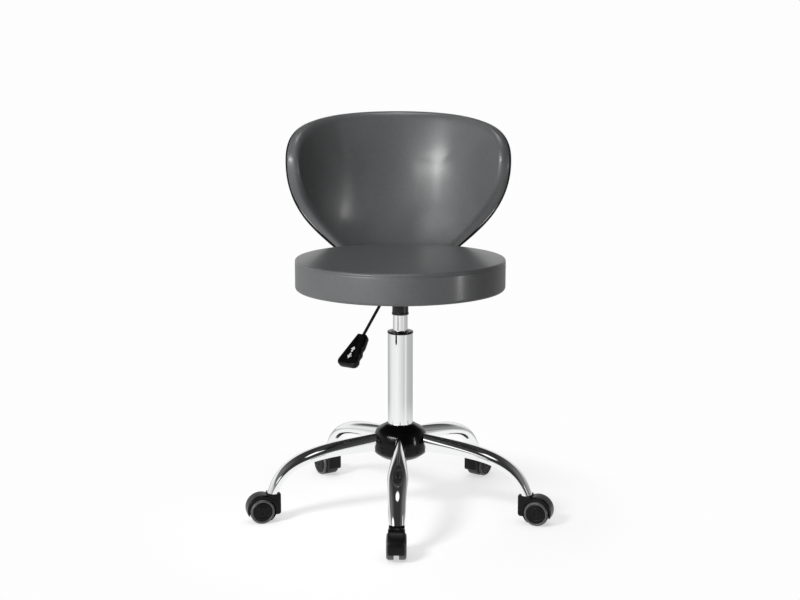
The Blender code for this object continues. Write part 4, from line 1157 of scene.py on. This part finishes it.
def leg_rough_section(share):
    """Height and width of the leg's tube before its changes are evened out."""
    share = max(share, 0.0)
    flare = min(share / LEG_FLARE_AT, 1.0) ** LEG_FLARE_POWER
    for (start, wide), (end, wide_after) in zip(LEG_WIDTHS, LEG_WIDTHS[1:]):
        if share <= end:
            break
    width = wide + (wide_after - wide) * (share - start) / (end - start)
    return LEG_ROOT_HEIGHT + (LEG_END_HEIGHT - LEG_ROOT_HEIGHT) * flare, width


def leg_section(share):
    """Height and width of the leg's tube, each the mean over a short run of it."""
    runs = [LEG_EASING * (i / LEG_EASING_STEPS - 0.5) for i in range(LEG_EASING_STEPS + 1)]
    rough = [leg_rough_section(min(share + run, 1.0)) for run in runs]
    return [sum(sizes) / len(sizes) for sizes in zip(*rough)]


def leg_tube():
    """One leg, from the hub's core outwards along X, pinched upright at the hub and flat over the caster."""
    rings = []
    for station in range(LEG_STATIONS + 1):
        share = station / LEG_STATIONS
        middle = leg_middle(share)
        ahead = leg_middle(share + 0.01) - leg_middle(share - 0.01)
        tilt = math.atan2(ahead.y, ahead.x)
        level = smooth_share((share - LEG_FLARE_AT) / (1 - LEG_FLARE_AT))
        tilt += (math.radians(-90) - tilt) * level
        tilt *= smooth_share(share / LEG_LEVEL_ROOT)
        rings.append(oval(middle, tilt, *leg_section(share), LEG_SIDES))
    return skin(rings, end_caps=True)


def arm_place(index):
    """Frame of one arm of the star: X points outwards along it."""
    return COLUMN @ about("Z", STAR_TURN - 90 + 360 * index / CASTER_COUNT)


# Casters

def barrel(radius, side_radius, half):
    """A hood turned about Y, fullest in its middle."""
    profile = []
    steps = 14
    for i in range(steps + 1):
        height = half * (2 * i / steps - 1)
        profile.append((side_radius + (radius - side_radius) * (1 - (height / half) ** 2), height))
    face = side_radius - 0.0016
    profile = [(0.0, -half), (face, -half), *profile[1:-1], (face, half), (0.0, half)]
    return moved(turned(profile, 72), about("X", 90))


def caster_body():
    """Neck and hood in one moulding, open below for the two wheels."""
    outline = eased([
        (0.0, CASTER_HEIGHT),
        (-BLOCK_BACK, CASTER_HEIGHT, 0.0012),
        (-BLOCK_BACK, BLOCK_LIFT, 0.0060),
        (BLOCK_FRONT, BLOCK_LIFT, 0.0010),
        (BLOCK_FRONT, CASTER_HEIGHT, 0.0012),
        (0.0, CASTER_HEIGHT),
    ])[:-1]
    block = rounded_edges(wall(outline, -BLOCK_WIDTH / 2, BLOCK_WIDTH / 2), 0.0025, 4, 60)
    hood = barrel(HOOD_RADIUS, HOOD_RADIUS - HOOD_CROWN, HOOD_WIDTH / 2)
    hood = moved(hood, shift(CASTER_TRAIL, 0.0, AXLE_Z + HOOD_LIFT))
    room_radius = WHEEL_RADIUS + WHEEL_ROOM
    wheel_rooms = []
    for side in (-1, 1):
        near_end = side * WEB_THICKNESS / 2
        far_end = side * HOOD_WIDTH
        room = turned([(0.0, near_end), (room_radius, near_end), (room_radius, far_end), (0.0, far_end)], 72)
        wheel_rooms.append(moved(room, shift(CASTER_TRAIL, 0.0, AXLE_Z) @ about("X", -90)))
    low = BLOCK_FRONT - 0.005
    floor_cut = box((low, -HOOD_WIDTH, -BLOCK_LIFT), (low + 2 * HOOD_RADIUS, HOOD_WIDTH, BLOCK_LIFT + GAP))
    body = carved(block, joins=[hood], cuts=[floor_cut, *wheel_rooms])
    return rounded_edges(body, 0.0006, 2, 35)


def wheel_tyre():
    """Tread of one wheel, turned about Z with its outer face up."""
    return turned([
        (AXLE_HOLE, WHEEL_INNER),
        (AXLE_HOLE, WHEEL_OUTER - 0.0040),
        (WHEEL_CAP_RADIUS, WHEEL_OUTER - 0.0040),
        (WHEEL_CAP_RADIUS, WHEEL_OUTER - 0.0008, 0.0004),
        (WHEEL_CAP_RADIUS + 0.0013, WHEEL_OUTER, 0.0010),
        (WHEEL_RADIUS - 0.0022, WHEEL_OUTER - 0.0002, 0.0016),
        (WHEEL_RADIUS, WHEEL_OUTER - 0.0030, 0.0024),
        (WHEEL_RADIUS, WHEEL_INNER, 0.0012),
        (AXLE_HOLE, WHEEL_INNER),
    ], WHEEL_STEPS)


def wheel_cap():
    """Black disc in the wheel's outer face, with a shallow ring and a dimpled middle."""
    rim = WHEEL_CAP_RADIUS - 0.0003
    return turned([
        (0.0, WHEEL_OUTER - 0.0010),
        (0.0028, WHEEL_OUTER - 0.0010, 0.0004),
        (0.0038, WHEEL_OUTER - 0.0002, 0.0006),
        (0.0110, WHEEL_OUTER - 0.0005, 0.0004),
        (0.0116, WHEEL_OUTER - 0.0011, 0.0004),
        (0.0124, WHEEL_OUTER - 0.0011, 0.0004),
        (0.0130, WHEEL_OUTER - 0.0006, 0.0004),
        (rim, WHEEL_OUTER - 0.0013, 0.0010),
        (rim, WHEEL_OUTER - 0.0038, 0.0004),
        (0.0, WHEEL_OUTER - 0.0038),
    ], WHEEL_STEPS)


leg = leg_tube()
caster = caster_body()
tyre = wheel_tyre()
disc = wheel_cap()
for index in range(CASTER_COUNT):
    number = index + 1
    arm = arm_place(index)
    piece(f"chrome_leg_{number}", leg.copy(), CHROME, "base", (f"leg_{number}",), arm)
    swivel = arm @ shift(STEM_CIRCLE)
    body = f"caster_{number}"
    piece(f"{body}_housing", caster.copy(), SATIN_BLACK, body, (f"{body}_body",), swivel)
    for side, tilt in (("left", -90), ("right", 90)):
        hub = swivel @ shift(CASTER_TRAIL, 0.0, AXLE_Z) @ about("X", tilt)
        wheel = f"wheel_{number}_{side}"
        node = f"{body}_wheel_{side}"
        piece(f"{wheel}_tread", tyre.copy(), TREAD, wheel, (node,), hub)
        piece(f"{wheel}_disc", disc.copy(), SATIN_BLACK, wheel, (), hub)


# Lever

def lever_point(run):
    corner_x = LEVER_BEND_REACH - LEVER_PIVOT_REACH
    return (corner_x + run * math.cos(LEVER_SLOPE), -run * math.sin(LEVER_SLOPE))


def lever_rod():
    corner_x = LEVER_BEND_REACH - LEVER_PIVOT_REACH
    tangent = LEVER_BEND_RADIUS * math.tan(LEVER_SLOPE / 2)
    bend = arc(corner_x - tangent, -LEVER_BEND_RADIUS, LEVER_BEND_RADIUS, 90, 90 - LEVER_SLOPE_ANGLE, 10)
    path = [(-LEVER_PIVOT_REACH - LEVER_TIP_PAST, 0.0), *bend, lever_point(LEVER_LENGTH)]
    rings = []
    for i, middle in enumerate(path):
        before = path[max(i - 1, 0)]
        after = path[min(i + 1, len(path) - 1)]
        tilt = math.atan2(after[1] - before[1], after[0] - before[0])
        rings.append(oval(middle, tilt, 2 * LEVER_ROD_RADIUS, 2 * LEVER_ROD_RADIUS, LEVER_ROD_SIDES))
    return skin(rings, end_caps=True)


def handle_outline():
    """The paddle seen on its face, anticlockwise, X along the rod, with finger waves on its +Y side."""
    neck = HANDLE_NECK_WIDTH / 2
    end = HANDLE_END_WIDTH / 2
    run = HANDLE_LENGTH - HANDLE_CORNER
    points = [(HANDLE_CUT, HANDLE_CUT - neck), (run, -end)]
    points += arc(run, HANDLE_CORNER - end, HANDLE_CORNER, -60, 0, 8)
    points += arc(run, end - HANDLE_CORNER, HANDLE_CORNER, 0, 60, 8)
    steps = 24 * HANDLE_WAVES
    for i in range(steps):
        share = 1 - i / steps
        waved = max(share - HANDLE_WAVES_FROM, 0.0) / (1 - HANDLE_WAVES_FROM)
        wave = HANDLE_WAVE * (math.cos(2 * math.pi * HANDLE_WAVES * waved) - 1) / 2
        belly = HANDLE_BELLY * math.sin(math.pi * share)
        points.append((run * share + HANDLE_CUT * (1 - share), neck + (end - neck) * share + belly + wave))
    points += [(HANDLE_CUT, neck - 0.0012), (0.0, neck - 0.004), (0.0, 0.004 - neck)]
    path = [Vector(point) for point in points]
    return evenly([*path, path[0]], 160)[:-1]


def lever_handle():
    """The grip: a thick paddle with rounded edges and a slightly dished face."""
    outline = handle_outline()
    outward = inward_normals(outline, 3)
    half = HANDLE_THICKNESS / 2
    profile = [(0.0060, half - 0.0005), (0.0044, half), (0.0030, half - 0.0001), (0.0015, half - 0.0009)]
    profile += [(0.0005, half - 0.0022), (0.0, half - 0.0042)]
    profile += [(inset, -height) for inset, height in profile[::-1]]
    rings = []
    for inset, height in profile:
        rings.append([(*(point - normal * inset), height) for point, normal in zip(outline, outward)])
    return skin(rings, end_caps=True)


def arrow_mark():
    """Two plain arrows, up and down, raised a hair from the grip's face."""
    points = []
    faces = []
    flat = [(0.0, 0.0135), (0.0052, 0.0072), (0.0019, 0.0072), (0.0019, 0.0014)]
    flat += [(-x, y) for x, y in flat[::-1] if x]
    count = len(flat)
    for sign in (1, -1):
        rows = [tuple(range(start, start + count)) for start in (len(points), len(points) + count)]
        points += [(x, sign * y, z) for z in (0.0, MARK_RELIEF) for x, y in flat]
        faces += [*rows, *band(*rows)]
    return mesh_from(points, faces)


lever_frame = COLUMN @ about("Z", LEVER_AZIMUTH) @ shift(LEVER_PIVOT_REACH, 0.0, LEVER_Z)
handle_x, handle_z = lever_point(LEVER_LENGTH - HANDLE_GRIP)
handle_frame = lever_frame @ shift(handle_x, 0.0, handle_z) @ about("Y", LEVER_SLOPE_ANGLE)
piece("release_lever_rod", lever_rod(), POWDER, "lever", ("lever_rod",), lever_frame)
grip = lever_handle()
piece("release_lever_grip", grip, SATIN_BLACK, "lever", ("lever_handle",), handle_frame, 50)
mark_face = shift(MARK_AT, 0.0, HANDLE_THICKNESS / 2 - MARK_SUNK)
mark_frame = handle_frame @ mark_face @ about("Z", 90)
piece("release_lever_arrows", arrow_mark(), PRINT, "lever", (), mark_frame)


# Solids that stay, with better finishes

KEPT = {
    POWDER: ("hub_core",),
    ZINC: ("thrust_bearing", "piston_rod", "rod_clip", "release_pin", "lever_pivot_pin"),
    PLYWOOD: ("seat_board", "back_board"),
    PALE: ("guide_bush",),
}
kept_finishes = {name: finish for finish, names in KEPT.items() for name in names}
for name, node in frame["nodes"].items():
    if name.endswith(("_stem", "_axle")):
        kept_finishes[name] = ZINC
    if name in kept_finishes:
        for holder in node.material_slots:
            holder.material = kept_finishes[name].material


# Floor, light and camera

BACKGROUND = 0.985
AMBIENT = 0.02
KEY_AZIMUTH = -41
FLOOR_REACH = 40.0

# Shadow of the floor's own lamp near the stool: its share of the floor's white, the paper's tone under that
# lamp, the tone with which the paper lights the stool from below, and the distances over which it fades.
SHADOW_SHARE = 0.24
SHADOW_PAPER = 0.75
BOUNCE_PAPER = 0.55
SHADOW_FADE = (0.22, 0.52)

# Painted shade on the floor close to the casters, darker on the side away from the key lamp: its reach, its
# strength, the limits of what counts as covered, and the elevation of the light that is covered.
CONTACT_REACH = 0.16
CONTACT_SHADE = 0.25
CONTACT_LIMITS = (0.12, 0.75)
CONTACT_ELEVATION = 32

# What mirrors see. Tones of the white paper by the direction off the sitter's front in degrees: on the floor
# from some distance on, where they are painted light and shade of the floor, and on the paper that stands
# behind and beside the stool.
FLOOR_FADE = (0.35, 0.90)
FLOOR_TONES = (
    (-180, 0.42), (-130, 0.55), (-85, 0.92), (-30, 1.0), (35, 0.64), (48, 0.92), (66, 0.55), (180, 0.42),
)
PAPER_TONES = (
    (-180, 0.92), (-120, 0.92), (-70, 0.60), (-30, 0.10), (30, 0.06), (70, 0.12), (125, 0.40), (160, 0.92),
)

# How high the standing paper is, as the upward part of a direction to its top, and how soft its edge is.
PAPER_HEIGHTS = (
    (-180, 0.45), (-120, 0.38), (-75, 0.22), (-30, 0.16), (30, 0.16), (75, 0.22), (120, 0.38), (180, 0.45),
)
PAPER_EDGE = 0.08

# The dark room above the paper, lighter to the sides, and soft windows of light in it: direction, elevation,
# half width and half height of each.
ROOM_TONE = 0.035
SIDE_GLOW = 0.13
SIDE_LIMITS = (0.10, 0.70)
MIRROR_WINDOWS = ((-41, 17, 0.19, 0.11), (63, 10, 0.06, 0.16), (2, 72, 0.22, 0.16))
WINDOW_TONE = 1.3
WINDOW_EDGE = (0.75, 1.15)

# Camera, fitted to the photo: sizes in the picture are in pixels.
PICTURE_WIDTH = 800
PICTURE_MIDDLE = 400.3
FOCAL_PIXELS = 1362.3241
SENSOR_WIDTH = 36.0
CAMERA_TILT = 0.1792
CAMERA_TURN = math.radians(2.0)
CAMERA_DISTANCE = 2.5509
CAMERA_HEIGHT = 0.8754


def toward(azimuth, elevation):
    """Direction in the studio, counted from the sitter's front to the camera's right, and upwards."""
    across = math.cos(math.radians(elevation))
    turn = math.radians(azimuth)
    return Vector((across * math.sin(turn), -across * math.cos(turn), math.sin(math.radians(elevation))))


def tone_round(finish, place, tones):
    """Tone of the studio in the direction of a place, level with the stool."""
    sockets = {0: finish.part(place, "X"), 1: 0 - finish.part(place, "Y")}
    angle = finish.node("ShaderNodeMath", {"operation": "ARCTAN2"}, sockets)
    stops = [(degrees / 360 + 0.5, tone) for degrees, tone in tones]
    return finish.ramp(angle * (0.5 / math.pi) + 0.5, *stops)


def pale_floor():
    """White floor that runs out to plain white, with the stool's soft shadow from its own lamp on it and
    painted shade close to the casters.
    """
    mesh = bpy.data.meshes.new("floor")
    mesh.from_pydata([(x * FLOOR_REACH, y * FLOOR_REACH, 0.0) for x, y in CORNERS], [], [(0, 1, 2, 3)])
    floor = bare_object(mesh, "floor")
    finish = Finish("pale_floor")
    camera = finish.ray("Camera")
    glossy = finish.ray("Glossy")
    place = finish.place()
    distance = finish.length(place)
    # Painted shade: ambient occlusion toward the key lamp darkens the floor's white near the casters.
    sockets = {"Distance": CONTACT_REACH, "Normal": toward(KEY_AZIMUTH, CONTACT_ELEVATION)}
    open_share = finish.node("ShaderNodeAmbientOcclusion", {"samples": 12}, sockets, output="AO")
    covered = camera * finish.eased_share(1 - open_share, *CONTACT_LIMITS)
    lit = camera * (1 - finish.eased_share(distance, *SHADOW_FADE))
    mirrored = glossy * finish.eased_share(distance, *FLOOR_FADE)
    tone = BACKGROUND * (1 - covered * CONTACT_SHADE) * (1 - lit * SHADOW_SHARE)
    # Painted light and shade of the floor, seen only in mirrors.
    tone = tone * (1 - mirrored * (1 - tone_round(finish, place, FLOOR_TONES)))
    seen = (camera + glossy + finish.ray("Transmission")) > 0.5
    finish.shade({
        "Base Color": lit * SHADOW_PAPER + finish.ray("Diffuse") * BOUNCE_PAPER,
        "Roughness": 1.0,
        "Specular IOR Level": 0.0,
        "Emission Color": tone * seen,
        "Emission Strength": 1.0,
    })
    mesh.materials.append(finish.material)
    return floor


def mirror_window(finish, direction, azimuth, elevation, wide, tall):
    """Share of a soft-edged window of light in a direction."""
    offset = finish.vectors("SUBTRACT", direction, toward(azimuth, elevation))
    scaled = finish.vectors("MULTIPLY", offset, (1 / wide, 1 / wide, 1 / tall))
    return 1 - finish.eased_share(finish.length(scaled), *WINDOW_EDGE)


def studio_world():
    """White to the eye, and dim as a light. Mirrors see paper low down, windows of light and a dark room."""
    world = bpy.data.worlds.new("studio")
    world.use_nodes = True
    bpy.context.scene.world = world
    finish = Finish("studio", world.node_tree)
    direction = finish.node("ShaderNodeTexCoord", output="Generated")
    over_paper = finish.part(direction, "Z") - tone_round(finish, direction, PAPER_HEIGHTS)
    on_paper = 1 - finish.eased_share(over_paper, -PAPER_EDGE, PAPER_EDGE)
    across = finish.part(direction, "X")
    room = ROOM_TONE + SIDE_GLOW * finish.eased_share(across * across, *SIDE_LIMITS)
    mirrored = room + on_paper * (tone_round(finish, direction, PAPER_TONES) - room)
    for window in MIRROR_WINDOWS:
        mirrored = mirrored + mirror_window(finish, direction, *window) * WINDOW_TONE
    camera = finish.ray("Camera")
    glossy = finish.ray("Glossy")
    seen = camera * BACKGROUND + (1 - camera) * (glossy * mirrored + (1 - glossy) * AMBIENT)
    background = world.node_tree.nodes["Background"]
    background.inputs["Color"].default_value = (1.0, 1.0, 1.0, 1.0)
    finish.feed(background.inputs["Strength"], seen)


def chrome_pieces():
    meshes = [obj for obj in bpy.context.scene.collection.all_objects if obj.type == "MESH"]
    return [obj for obj in meshes if CHROME.material in obj.data.materials[:]]


def light_group(name, objects, state):
    """Things that a lamp alone lights, or that it leaves out."""
    group = bpy.data.collections.new(name)
    for obj in objects:
        group.objects.link(obj)
    for entry in group.collection_objects:
        entry.light_linking.link_state = state
    return group


def softbox(name, group, power, at, size, aim_height=0.55, spread=180):
    """A soft lamp that looks at the column. Its place is (azimuth, distance, height), as in toward."""
    azimuth, distance, height = at
    data = bpy.data.lights.new(name, "AREA")
    data.shape = "ELLIPSE"
    data.size, data.size_y = size
    data.energy = power
    data.spread = math.radians(spread)
    lamp = bpy.data.objects.new(name, data)
    bpy.context.scene.collection.objects.link(lamp)
    lamp.location = COLUMN.translation + distance * toward(azimuth, 0) + Vector((0.0, 0.0, height))
    aim = COLUMN.translation + Vector((0.0, 0.0, aim_height))
    lamp.rotation_euler = (aim - lamp.location).to_track_quat("-Z", "Y").to_euler()
    lamp.light_linking.receiver_collection = group
    return lamp


def photo_camera():
    data = bpy.data.cameras.new("photo_camera")
    data.sensor_width = SENSOR_WIDTH
    data.lens = FOCAL_PIXELS / PICTURE_WIDTH * SENSOR_WIDTH
    data.shift_x = (PICTURE_WIDTH / 2 - PICTURE_MIDDLE) / PICTURE_WIDTH
    camera = bpy.data.objects.new("photo_camera", data)
    bpy.context.scene.collection.objects.link(camera)
    back = -CAMERA_DISTANCE * Vector((math.sin(CAMERA_TURN), math.cos(CAMERA_TURN), 0.0))
    camera.location = COLUMN.translation + back + Vector((0.0, 0.0, CAMERA_HEIGHT))
    camera.rotation_euler = (math.pi / 2 - CAMERA_TILT, 0.0, -CAMERA_TURN)
    bpy.context.scene.camera = camera


studio_floor = pale_floor()
studio_world()

# The floor has a lamp of its own for its shadow, and chrome mirrors the soft windows in place of the lamps.
floor_alone = light_group("floor_alone", [studio_floor], "INCLUDE")
unlit = light_group("unlit", [studio_floor, *chrome_pieces()], "EXCLUDE")
softbox("floor_softbox", floor_alone, 25, (-46, 1.9, 1.77), (0.6, 0.6), 0.0)
softbox("key_softbox", unlit, 46, (KEY_AZIMUTH, 2.3, 0.98), (2.00, 0.22))
softbox("back_softbox", unlit, 0.30, (KEY_AZIMUTH, 2.4, 1.00), (1.30, 0.26), 0.67, 34)
softbox("fill_softbox", unlit, 2.0, (64, 2.5, 0.40), (0.14, 0.70))
softbox("sheen_softbox", unlit, 4.8, (62, 2.5, 0.18), (0.12, 0.45)).visible_diffuse = False
softbox("top_softbox", unlit, 12, (180, 0.10, 2.6), (0.9, 0.9))
softbox("rear_softbox", unlit, 24, (180, 2.0, 1.7), (1.0, 0.6)).visible_glossy = False
softbox("side_softbox", unlit, 8, (125, 2.4, 1.0), (0.9, 0.6)).visible_glossy = False
photo_camera()
bpy.context.scene.view_settings.view_transform = "Standard"
